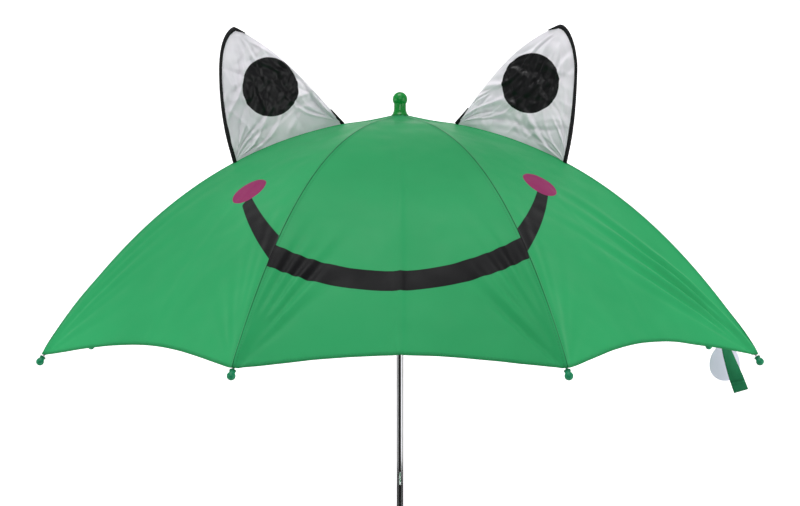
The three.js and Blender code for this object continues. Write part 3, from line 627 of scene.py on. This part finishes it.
# %% Print and seams on the sheet
def sheet_marks(rib, columns, rows):
    turned = len(HEM_TURN)
    grid = np.zeros((len(rows) + turned, len(columns), 4))
    place = np.zeros((len(rows) + turned, len(columns), 2))
    for chosen, across, panel in sector_halves(rib, columns):
        t = hole_t + (hem_t(panel, across) - hole_t) * rows[:, None]
        rest = smooth_point(panel, across[None, :], t)
        turn = np.degrees(np.arctan2(rest[..., 0], -rest[..., 1]))
        down, width = down_at(t), span_at(t)
        hem_gap = down_at(hem_t(panel, across))[None, :] - down
        ink = mouth_depth(turn, down * 1000, panel == 8) / 1000
        cheek = cheek_depth(turn, down * 1000) / 1000
        part = np.stack((np.minimum(across, 1 - across)[None, :] * width, hem_gap, ink, cheek), -1)
        under = np.repeat(part[-1:], turned, 0)
        under[..., 1] = np.array([max(0.0, -along) for along, _ in HEM_TURN])[:, None]
        grid[:, chosen] = np.concatenate((part, under))
        flat = np.stack((np.broadcast_to(columns[chosen] * width, down.shape), down), -1)
        place[:, chosen] = np.concatenate((flat, np.repeat(flat[-1:], turned, 0)))
    return grid, place

print("mouth and cheeks ready")

def rib_frame(rib):
    turn = azimuth(rib)
    return np.array((math.sin(turn), -math.cos(turn), 0)), np.array((math.cos(turn), math.sin(turn), 0))

def at_rib(rib, out, aside, height):
    outward, sideways = rib_frame(rib)
    return outward * out + sideways * aside + np.array((0, 0, height + TIP_PLANE))

def ride_and_gather(piece, rib):
    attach(piece, f"rib_{rib}")
    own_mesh(piece)

SHEET_LENGTH = float(corner_arc - arc[int(hole_t * CURVE_STEPS)])

def make_sheet(rib):
    columns, rows, grid = sheet_grid(rib)
    normals = grid_normals(grid)[:, 1:-1]
    marks, place = sheet_marks(rib, columns, rows)
    grid, marks, place = grid[:, 1:-1], marks[:, 1:-1], place[:, 1:-1]
    piece = new_piece(f"canopy_cloth_{rib}", grid, grid_faces(*grid.shape[:2]), CANOPY_NYLON)
    for layer, name in enumerate(("rib_gap", "hem_gap", "mouth_ink", "cheek_ink")):
        store(piece, name, marks[..., layer])
    store_cloth_map(piece, place[..., 0], place[..., 1])
    piece.data.normals_split_custom_set_from_vertices([tuple(n) for n in normals.reshape(-1, 3)])
    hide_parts(f"canopy_{rib}")
    area = sum(face.area for face in piece.data.polygons)
    hem = grid[-1 - len(HEM_TURN)]
    return piece, float(area), float(np.linalg.norm(hem[0] - hem[-1]))

FLAT_SPREAD = 1.05  # the cut is wider than the straight span, because the sheet bows
sheets, sheet_sizes = {}, {}
for rib in range(1, RIBS + 1):
    sheets[rib], area, width = make_sheet(rib)
    ride_and_gather(sheets[rib], rib)
    sheet_sizes[rib] = (round(width * FLAT_SPREAD, 3), round(SHEET_LENGTH + HEM_DEPTH, 3), area)
print("sheet 1: width, length, area", [round(v, 4) for v in sheet_sizes[1]])

# %% [markdown]
# ## Eye flaps
# Each eye is two layers of white nylon sewn along their rim, standing on the seam of a side rib. Nothing
# stiffens it but the sewn rim, so the layers crumple: long folds fan out from both ends of the base and
# across the disc. The layers are one grid stretched from the base seam up to the rim.

# %% The flap's outline
# Inner foot, then three bends: up the brow to the top, round to the widest place, down to the outer foot.
# Each bend is two handles and its end, in millimetres from the shaft's axis and above the tips.
LEFT_RIM = ((66, 252), (102, 288), (136, 330), (193, 353), (204, 347), (208, 328), (208, 306),
            (208, 275), (203, 240), (192, 210))
RIGHT_RIM = ((66, 252), (100, 292), (128, 338), (187, 356), (196, 353), (204, 332), (204, 308),
             (203, 275), (200, 240), (192, 210))
# Each eye's rib, the way it faces, its pupil's centre and radius, and its rim.
EYE_SIDES = {"right": (2, -1.0, (153.3, 294.6), 32.5, RIGHT_RIM),
             "left": (7, 1.0, (152.6, 290.6), 32.0, LEFT_RIM)}
EYE_COLUMNS, EYE_ROWS = 110, 64
EYE_RISE = -0.0012

def bent_rim(places, count):
    """Joins cubic bends end to end and spaces the points evenly along them."""
    places, u = np.array(places, float), np.linspace(0, 1, 60)[:, None]
    fine = []
    for i in range(0, len(places) - 3, 3):
        a, b, c, d = places[i:i + 4]
        fine.append((1 - u)**3 * a + 3 * u * (1 - u)**2 * b + 3 * u**2 * (1 - u) * c + u**3 * d)
    fine = np.vstack(fine)
    run = np.concatenate(([0], np.cumsum(np.linalg.norm(np.diff(fine, axis=0), axis=1))))
    even = np.linspace(0, run[-1], count)
    return np.stack([np.interp(even, run, fine[:, k]) for k in range(2)], -1)

def on_curve(out):
    t = np.interp(out, curve[:, 0], steps)
    spot, way = curve_point(t), curve_way(t)
    return np.stack((spot[..., 0] - way[..., 1] * EYE_RISE, spot[..., 1] + way[..., 0] * EYE_RISE), -1)

def eye_grid(side):
    rim = bent_rim(EYE_SIDES[side][4], EYE_COLUMNS) / 1000
    base = on_curve(np.linspace(rim[0, 0], rim[-1, 0], EYE_COLUMNS))
    rim[0], rim[-1] = base[0], base[-1]
    up = np.linspace(0, 1, EYE_ROWS)[:, None, None]
    return base * (1 - up) + rim * up

eye_flat = {side: eye_grid(side) for side in EYE_SIDES}
print("eye tops", {side: round(float(flat[..., 1].max()), 4) for side, flat in eye_flat.items()})

# %% Crumples
# Long creases fan out from four places: each is a point, the fan's two angles, and how many it has.
CREASE_FANS = (((0.066, 0.252), 0.25, 0.85, 9), ((0.192, 0.208), 1.65, 2.75, 11),
               ((0.150, 0.256), 0.7, 2.5, 8), ((0.190, 0.352), -2.55, -1.55, 9))
SHORT_CREASES = 44

def crumple(spot, seed):
    rng = np.random.default_rng(seed)
    out, height = spot[..., 0], spot[..., 1]
    lift = np.zeros(out.shape)
    for corner, low, high, many in CREASE_FANS:
        away = np.hypot(out - corner[0], height - corner[1])
        turn = np.arctan2(height - corner[1], out - corner[0])
        for _ in range(many):
            angle, spread = rng.uniform(low, high), rng.uniform(0.02, 0.05)
            size, length = rng.uniform(0.0008, 0.0024), rng.uniform(0.03, 0.065)
            part = away / length
            window = part * np.exp(0.5 * (1 - part * part))
            bend = angle + 0.12 * np.sin(away * 55 + rng.uniform(0, 6))
            lift += rng.choice((-1, 1)) * size * window * np.exp(-((turn - bend) / spread)**2)
    for _ in range(SHORT_CREASES):
        middle = np.array((rng.uniform(0.09, 0.205), rng.uniform(0.225, 0.345)))
        heading, length = rng.uniform(0, math.pi), rng.uniform(0.012, 0.034)
        spread = rng.uniform(0.0012, 0.0030)
        along = (out - middle[0]) * math.cos(heading) + (height - middle[1]) * math.sin(heading)
        aside = (height - middle[1]) * math.cos(heading) - (out - middle[0]) * math.sin(heading)
        aside = aside + 0.0015 * np.sin(along * 140)
        size = rng.choice((-1, 1)) * rng.uniform(0.0006, 0.0016)
        lift += size * np.exp(-(along / length)**2 - (aside / spread)**2)
    cells = np.stack((out, height, np.zeros(out.shape)), -1)
    lift += (0.0026 * slow_noise(cells, 0.045, seed)
             + 0.0012 * slow_noise(cells * (1, 0.55, 1), 0.014, seed + 5))
    return lift + 0.0002 * slow_noise(cells, 0.006, seed + 9)

def make_eye(side):
    rib, front, centre, radius, _ = EYE_SIDES[side]
    flat = eye_flat[side]
    rise = np.linspace(0, 1, EYE_ROWS)[:, None]
    along = np.linspace(0, 1, EYE_COLUMNS)[None, :]
    pinned = (np.clip(np.minimum(rise, 1 - rise) / 0.10, 0, 1)
              * np.clip(np.minimum(along, 1 - along) / 0.04, 0, 1))
    shape = crumple(flat, 11 if side == "right" else 23)
    bow = 0.0025 * np.sin(np.pi * rise) * np.sin(np.pi * along)
    layers, inks = [], []
    for layer in (1, -1):
        crumpled = shape * (0.15 + 0.85 * pinned) * np.clip(rise / 0.06, 0, 1)
        lift = (crumpled + bow) + layer * 0.0006 * (0.25 + pinned)
        outward, sideways = rib_frame(rib)
        spot = (outward * flat[..., :1] + sideways * (front * lift[..., None])
                + np.array((0, 0, 1)) * (flat[..., 1:] + TIP_PLANE))
        layers.append(spot)
        gap = np.hypot(flat[..., 0] * 1000 - centre[0], flat[..., 1] * 1000 - centre[1])
        inks.append((radius - gap) / 1000 if layer > 0 else np.full(gap.shape, -0.05))
    count = EYE_ROWS * EYE_COLUMNS
    faces = grid_faces(EYE_ROWS, EYE_COLUMNS)
    near, far = (faces, faces[:, ::-1]) if front < 0 else (faces[:, ::-1], faces)
    faces = np.concatenate((near, far + count))
    border = [(0, c) for c in range(EYE_COLUMNS)] + [(r, EYE_COLUMNS - 1) for r in range(1, EYE_ROWS)]
    border += [(EYE_ROWS - 1, c) for c in range(EYE_COLUMNS - 2, -1, -1)]
    border += [(r, 0) for r in range(EYE_ROWS - 2, 0, -1)]
    ring = np.array([r * EYE_COLUMNS + c for r, c in border])
    follow = np.roll(ring, -1)
    rim = np.stack((ring, follow, follow + count, ring + count), -1)
    faces = np.concatenate((faces, rim))
    points = np.concatenate([layer.reshape(-1, 3) for layer in layers])
    piece = new_piece(f"eye_cloth_{side}", points, faces, EYE_NYLON)
    store(piece, "pupil_ink", np.concatenate([i.ravel() for i in inks]))
    store_cloth_map(piece, np.tile(flat[..., 0].ravel(), 2), np.tile(flat[..., 1].ravel(), 2))
    return piece, layers

def tidy_mesh(piece):
    shape = bmesh.new()
    shape.from_mesh(piece.data)
    bmesh.ops.remove_doubles(shape, verts=shape.verts, dist=2e-6)
    bmesh.ops.dissolve_degenerate(shape, dist=1e-6, edges=shape.edges)
    bmesh.ops.recalc_face_normals(shape, faces=shape.faces)
    shape.to_mesh(piece.data)
    shape.free()

eyes, eye_layers = {}, {}
for side in EYE_SIDES:
    eyes[side], eye_layers[side] = make_eye(side)
    tidy_mesh(eyes[side])
    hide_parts(f"eye_{side}")
    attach(eyes[side], f"eye_{side}")
print("eye faces", len(eyes["left"].data.polygons))

# %% [markdown]
# ## Tape on the eyes
# Black tape is folded over the outer rim, thicker towards the base, with a small wedge at the top and a
# short piece where the rim meets the canopy. A flattened tube swept along the rim gives its rounded edge.

# %% Swept tube
def swept(name, path, across, widths, depths, finish, around=14):
    path = np.asarray(path, float)
    way = np.gradient(path, axis=0)
    way /= np.linalg.norm(way, axis=1, keepdims=True)
    side = np.broadcast_to(across, path.shape) if across is not None else np.cross(way, (0.3, 0.2, 0.93))
    side = side - way * np.sum(side * way, axis=1, keepdims=True)
    side /= np.linalg.norm(side, axis=1, keepdims=True)
    up = np.cross(way, side)
    widths, depths = np.broadcast_to(widths, len(path)), np.broadcast_to(depths, len(path))
    turn = np.linspace(0, 2 * math.pi, around, endpoint=False)
    rings = (path[:, None] + up[:, None] * (np.cos(turn)[:, None] * widths[:, None, None])
             + side[:, None] * (np.sin(turn)[:, None] * depths[:, None, None]))
    piece = new_piece(name, rings, tube_faces(len(path), around), finish)
    store_cloth_map(piece, np.tile(turn * float(np.mean(widths)), len(path)),
                    np.repeat(np.linspace(0, 0.2, len(path)), around))
    return piece

TAPE_LAP, TAPE_HALF_DEPTH = 0.0008, 0.0020  # how far it stands past the rim, and half its thickness
LEAN_ROWS = 4  # the tape points at the row this far below the rim

def make_binding(side, name, first, last, *wide):
    rib = EYE_SIDES[side][0]
    rows = (eye_layers[side][0] + eye_layers[side][1]) / 2
    path = rows[-1, first:last]
    widths = np.interp(np.linspace(0, 1, len(path)), np.linspace(0, 1, len(wide)), wide)
    # All rows meet at the outer foot, so the last column borrows its neighbour's direction.
    inward = rows[-1 - LEAN_ROWS, :-1] - rows[-1, :-1]
    inward = np.vstack((inward, inward[-1:]))[first:last]
    inward /= np.linalg.norm(inward, axis=1, keepdims=True)
    path = path + inward * (widths - TAPE_LAP)[:, None]
    piece = swept(f"eye_{name}_{side}", path, rib_frame(rib)[1], widths, TAPE_HALF_DEPTH, BINDING)
    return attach(piece, f"eye_{side}")

for side in EYE_SIDES:
    apex = int(np.argmax(eye_flat[side][-1, :, 1]))
    tape = make_binding(side, "tape", apex, EYE_COLUMNS, 0.0026, 0.0018, 0.0016, 0.0020, 0.0024, 0.0022)
    wedge = make_binding(side, "wedge", apex - 5, apex + 3, 0.0004, 0.0018, 0.0026)
    foot = make_binding(side, "foot", 1, 9, 0.0024, 0.0016, 0.0006)
    size = eyes[side].data
    area = 0.5 * sum(face.area for face in size.polygons)
    print("eye", side, "one layer", round(area, 5), "m2")

# %% [markdown]
# ## Turned pieces
# The ferrule and the tip caps are shapes turned about an axis. Each one is an outline of radius and
# height, spun into many sides. Where it ends in a ball, the outline's points lie on a circle.

# %% Turning
def turned(name, outline, finish, sides=56, origin=(0, 0, 0), axis=(0, 0, 1)):
    outline = np.array(outline, float)
    axis = np.array(axis, float) / np.linalg.norm(axis)
    first = np.cross(axis, (0, 1, 0) if abs(axis[1]) < 0.9 else (1, 0, 0))
    first /= np.linalg.norm(first)
    second = np.cross(axis, first)
    turn = np.linspace(0, 2 * math.pi, sides, endpoint=False)
    round_way = first * np.cos(turn)[:, None] + second * np.sin(turn)[:, None]
    rings = np.array(origin) + outline[:, None, :1] * round_way[None] + outline[:, None, 1:] * axis
    piece = new_piece(name, rings, tube_faces(len(outline), sides), finish)
    tidy_mesh(piece)
    piece.data.set_sharp_from_angle(angle=math.radians(50))
    return piece

BALL_HEIGHT, BALL_RADIUS, NECK_RADIUS, FLARE_RADIUS = 0.2823, 0.0083, 0.0067, 0.0092
FERRULE_BASE = 0.2645

def ball_outline(centre, radius, low, high, count):
    lift = np.linspace(low, high, count)
    return [(radius * math.cos(a), centre + radius * math.sin(a)) for a in lift]

neck_turn = -math.acos(NECK_RADIUS / BALL_RADIUS)
ferrule_outline = [(FLARE_RADIUS, FERRULE_BASE), (FLARE_RADIUS, FERRULE_BASE + 0.0007),
                   (FLARE_RADIUS - 0.0006, FERRULE_BASE + 0.0014),
                   (NECK_RADIUS + 0.0010, FERRULE_BASE + 0.0030), (NECK_RADIUS + 0.0001, FERRULE_BASE + 0.0060),
                   (NECK_RADIUS, BALL_HEIGHT + BALL_RADIUS * math.sin(neck_turn) - 0.0006)]
ferrule_outline += ball_outline(BALL_HEIGHT, BALL_RADIUS, neck_turn, math.pi / 2 - 0.02, 26)
ferrule = turned("ferrule_cap", ferrule_outline, CAP_PLASTIC, origin=(0, 0, TIP_PLANE))
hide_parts("ferrule")
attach(ferrule, "frame")
print("ferrule faces", len(ferrule.data.polygons))

# %% [markdown]
# A rib ends in a ball cap with a short collar. The cloth's corner is gathered and tied to the collar, so
# a few turns of thread and a puckered point of cloth cover the gap between them.

# %% Rib tips
TIP_BALL, TIP_COLLAR, COLLAR_LENGTH = 0.0041, 0.0028, 0.0064
tip_way = np.array((math.cos(HEM_SLOPE), -math.sin(HEM_SLOPE)))

def tip_outline():
    start = math.acos(TIP_COLLAR / TIP_BALL)
    outline = [(0.0016, -COLLAR_LENGTH), (TIP_COLLAR - 0.0002, -COLLAR_LENGTH),
               (TIP_COLLAR, -COLLAR_LENGTH + 0.0003), (TIP_COLLAR, -TIP_BALL * math.sin(start) - 0.0003)]
    return outline + ball_outline(0, TIP_BALL, -start, math.pi / 2 - 0.03, 20)

for rib in range(1, RIBS + 1):
    outward, sideways = rib_frame(rib)
    way = outward * tip_way[0] + np.array((0, 0, tip_way[1]))
    place = at_rib(rib, TIP_RADIUS, 0, 0)
    cap = turned(f"tip_cap_{rib}", tip_outline(), TIP_PLASTIC, sides=40, origin=place, axis=way)
    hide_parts(f"tip_{rib}")
    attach(cap, f"rib_{rib}")
    up = np.cross(sideways, way)
    turns = np.linspace(0, 5 * 2 * math.pi, 90)
    coil = (place - way * (COLLAR_LENGTH - 0.0003) + way * (turns / turns[-1] * 0.0013)[:, None]
            + (np.cos(turns)[:, None] * sideways + np.sin(turns)[:, None] * up) * (TIP_COLLAR + 0.00022))
    # The thread takes the strap's nylon, with its painted shade.
    thread = swept(f"tip_thread_{rib}", coil, None, 0.00016, 0.00016, SHADED_STRAP_NYLON, around=6)
    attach(thread, f"rib_{rib}")
print("tips", RIBS)

# %% [markdown]
# ## Closing strap and swing tag
# The strap wraps the shut umbrella. Open, it hangs from the hem beside a tip and twists, so it looks
# narrow at the top and full width at its stitched end. The tag is a plain egg-shaped card on a loop.

# %% Strap
STRAP_RIB, STRAP_ACROSS, STRAP_WIDTH, STRAP_DROP = 2, 0.42, 0.016, 0.061
STRAP_DRIFT = 0.0215  # sideways, over its length
strap_top = cloth_point(STRAP_RIB, np.array(STRAP_ACROSS), hem_t(STRAP_RIB, np.array(STRAP_ACROSS)))

def strap_grid():
    down = np.linspace(0, 1, 46)[:, None]
    over = np.linspace(-0.5, 0.5, 17)[None, :]
    twist = np.radians(66 - 60 * np.clip(down / 0.8, 0, 1))
    curl = 0.0012 * (1 - (2 * over)**2) * np.sin(down * 3)
    x = strap_top[0] + STRAP_DRIFT * down**1.15 + over * STRAP_WIDTH * np.cos(twist) + curl * np.sin(twist)
    y = strap_top[1] + 0.001 + over * STRAP_WIDTH * np.sin(twist) - curl * np.cos(twist)
    lean = 0.0022 * over * 2 * np.clip(down - 0.5, 0, 1) * 2
    z = strap_top[2] + 0.0045 - (STRAP_DROP + 0.004) * down + lean + 0 * x
    return np.stack(np.broadcast_arrays(x, y, z), -1)

strap_points = strap_grid()
rows, columns = strap_points.shape[:2]
strap = new_piece("strap_band", strap_points, grid_faces(rows, columns), SHADED_STRAP_NYLON)
store_cloth_map(strap, np.broadcast_to(np.linspace(0, STRAP_WIDTH, columns), (rows, columns)),
                np.broadcast_to(np.linspace(0, STRAP_DROP, rows)[:, None], (rows, columns)))

def thicken(piece, depth):
    """Gives a single layer its thickness, and keeps the result as the piece's own mesh."""
    thick = piece.modifiers.new("thickness", "SOLIDIFY")
    thick.thickness, thick.offset = depth, 0.0
    solid_mesh = bpy.data.meshes.new_from_object(piece.evaluated_get(bpy.context.evaluated_depsgraph_get()))
    piece.modifiers.clear()
    piece.data = solid_mesh

thicken(strap, 0.0009)
end_rows = strap_points[-9:-6, 1:-1] + np.array((0, -0.0007, 0))
strap_end = new_piece("strap_end_fold", end_rows, grid_faces(3, columns - 2), SHADED_STRAP_NYLON)
store_cloth_map(strap_end, np.zeros((3, columns - 2)), np.zeros((3, columns - 2)))
thicken(strap_end, 0.0005)
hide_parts("tie_strap")
for piece in (strap, strap_end):
    ride_and_gather(piece, STRAP_RIB)
print("strap", rows, "by", columns)

# %% Swing tag
TAG_WIDE, TAG_TALL, TAG_THICK, TAG_HOLE = 0.034, 0.042, 0.0004, 0.0016
TAG_PLACE = (0.362, 0.004, TIP_PLANE - 0.010)
TAG_HOLE_RISE = 0.38 * TAG_TALL

def tag_shape():
    turn = np.linspace(0, 2 * math.pi, 72, endpoint=False)
    rise = np.sin(turn)
    narrowing = 1 - 0.16 * rise
    outer = np.stack((0.5 * TAG_WIDE * np.cos(turn) * narrowing, 0.5 * TAG_TALL * rise), -1)
    hole = np.stack((TAG_HOLE * np.cos(turn), TAG_HOLE_RISE + TAG_HOLE * np.sin(turn)), -1)
    bands = np.linspace(0, 1, 12)[:, None, None]
    return hole * (1 - bands) + outer * bands

def make_tag():
    flat = tag_shape()
    bands, around = flat.shape[:2]
    bow = 0.0016 * (flat[..., 0] / (TAG_WIDE / 2))**2
    points = np.stack((flat[..., 0], bow, flat[..., 1]), -1) + np.array(TAG_PLACE)
    faces = []
    for band in range(bands - 1):
        for k in range(around):
            n = (k + 1) % around
            faces.append((band * around + k, (band + 1) * around + k,
                          (band + 1) * around + n, band * around + n))
    card = new_piece("swing_tag", points, faces, TAG_CARD)
    thicken(card, TAG_THICK)
    card.data.set_sharp_from_angle(angle=math.radians(40))
    return card

tag = make_tag()
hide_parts("hang_tag")
ride_and_gather(tag, STRAP_RIB)
tag_hole = np.array(TAG_PLACE) + np.array((0, 0, TAG_HOLE_RISE))
loop_turn = np.linspace(-0.5 * math.pi, 1.5 * math.pi, 40)
loop_rise = strap_top[2] + 0.001 - tag_hole[2]
loop_path = np.stack((tag_hole[0] + 0.0011 * np.cos(loop_turn) - 0.003 * (1 + np.sin(loop_turn)) / 2,
                      tag_hole[1] - 0.0016 * np.cos(loop_turn) - 0.012 * (1 + np.sin(loop_turn)) / 2,
                      tag_hole[2] + 0.0006 + loop_rise * (1 + np.sin(loop_turn)) / 2), -1)
tag_loop = swept("swing_tag_loop", loop_path, None, 0.0003, 0.0003, TAG_CARD, around=8)
ride_and_gather(tag_loop, STRAP_RIB)
print("tag", TAG_WIDE, TAG_TALL)

# %% [markdown]
# Each sheet is stretched between its ribs. Its flat size is the cut before sewing: as wide as the span
# between the middles of two panels, and as long as the rib's curve with the turned hem.

# %% Canopy sheets
print("sheets", {rib: size[:2] for rib, size in sheet_sizes.items()})

# %% [markdown]
# ## Handle
# A child's handle is one moulded crook pushed onto the shaft. It is a round bar swept down, round the
# bend and up to a flat end. The mould's halves leave a faint ridge along it, a lip closes the top, and
# fine grooves below the lip give the fingers something to hold.

# %% Crook handle
HANDLE_TOP, HANDLE_RADIUS, CROOK_START, CROOK_RADIUS, CROOK_END = 0.038, 0.008, -0.024, 0.025, -0.010
MOULD_RIDGE, LIP_LENGTH, LIP_STEP, END_ROUND = 0.00012, 0.0028, 0.0003, 0.0010
GROOVE_DEPTH, GROOVE_PITCH, GROOVES_FROM, GROOVES_TO = 0.00035, 0.0062, 0.012, 0.056

def crook_path():
    straight = [(0, 0, z) for z in np.linspace(HANDLE_TOP, CROOK_START, 26)]
    bend = [(CROOK_RADIUS - CROOK_RADIUS * math.cos(a), 0, CROOK_START - CROOK_RADIUS * math.sin(a))
            for a in np.linspace(0, math.pi, 60)[1:]]
    rise = [(2 * CROOK_RADIUS, 0, z) for z in np.linspace(CROOK_START, CROOK_END, 10)[1:]]
    return np.array(straight + bend + rise)

def make_handle(around=56):
    path = crook_path()
    way = np.gradient(path, axis=0)
    way /= np.linalg.norm(way, axis=1, keepdims=True)
    side = np.array((0, 1.0, 0))
    run = np.concatenate(([0], np.cumsum(np.linalg.norm(np.diff(path, axis=0), axis=1))))
    last = run[-1]
    turn = np.linspace(0, 2 * math.pi, around, endpoint=False)
    ridge = MOULD_RIDGE * np.exp(-(np.cos(turn) / 0.06)**2)
    grip = GROOVE_DEPTH * np.cos(2 * math.pi * run / GROOVE_PITCH) * ((run > GROOVES_FROM) & (run < GROOVES_TO))
    lip = np.where(run < LIP_LENGTH, 0.0, -LIP_STEP)
    near_end = np.maximum(0, END_ROUND - np.minimum(run, last - run))
    rounding = np.minimum(0, -END_ROUND + np.sqrt(np.maximum(0, END_ROUND**2 - near_end**2)))
    grooves = grip[:, None] * (1 - 0.7 * np.abs(np.cos(turn)))[None]
    radius = HANDLE_RADIUS - 0.00015 + (lip + rounding)[:, None] + ridge[None] + grooves - GROOVE_DEPTH
    up = np.cross(way, side)
    rings = (path[:, None] + up[:, None] * (np.cos(turn)[None, :, None] * radius[..., None])
             + side * (np.sin(turn)[None, :, None] * radius[..., None]))
    piece = new_piece("crook_handle", rings, tube_faces(len(path), around), HANDLE_PLASTIC)
    tidy_mesh(piece)
    piece.data.set_sharp_from_angle(angle=math.radians(50))
    return piece

handle = make_handle()
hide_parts("handle")
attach(handle, "frame")
print("handle faces", len(handle.data.polygons))

# %% [markdown]
# ## The folding frame
# The shaft, ribs, stretchers, runner, crown, wires and catches already have their real shapes, and they
# have to keep them to fold without touching. They only need their metals and plastics, and smooth shading
# that stays crisp at true edges.

# %% Frame finishes
FRAME_FINISHES = (
    ("shaft", CHROME), ("crown_wire", RIB_STEEL), ("crown_pin", RIB_STEEL), ("stop_pin", RIB_STEEL),
    ("runner_wire", RIB_STEEL), ("crown", HUB_NYLON), ("runner", HUB_NYLON), ("top_catch", SPRING_STEEL),
    ("bottom_catch", SPRING_STEEL), ("rib_rivet", SPRING_STEEL), ("stretcher", RIB_STEEL), ("rib", RIB_STEEL))
for name, node in frame["nodes"].items():
    if node.hide_render:
        continue
    finish = next(finish for start, finish in FRAME_FINISHES if name.startswith(start))
    node.data.materials.clear()
    node.data.materials.append(finish)
    node.data.shade_smooth()
    node.data.set_sharp_from_angle(angle=math.radians(35))
print("frame pieces shown", sum(not node.hide_render for node in frame["nodes"].values()))
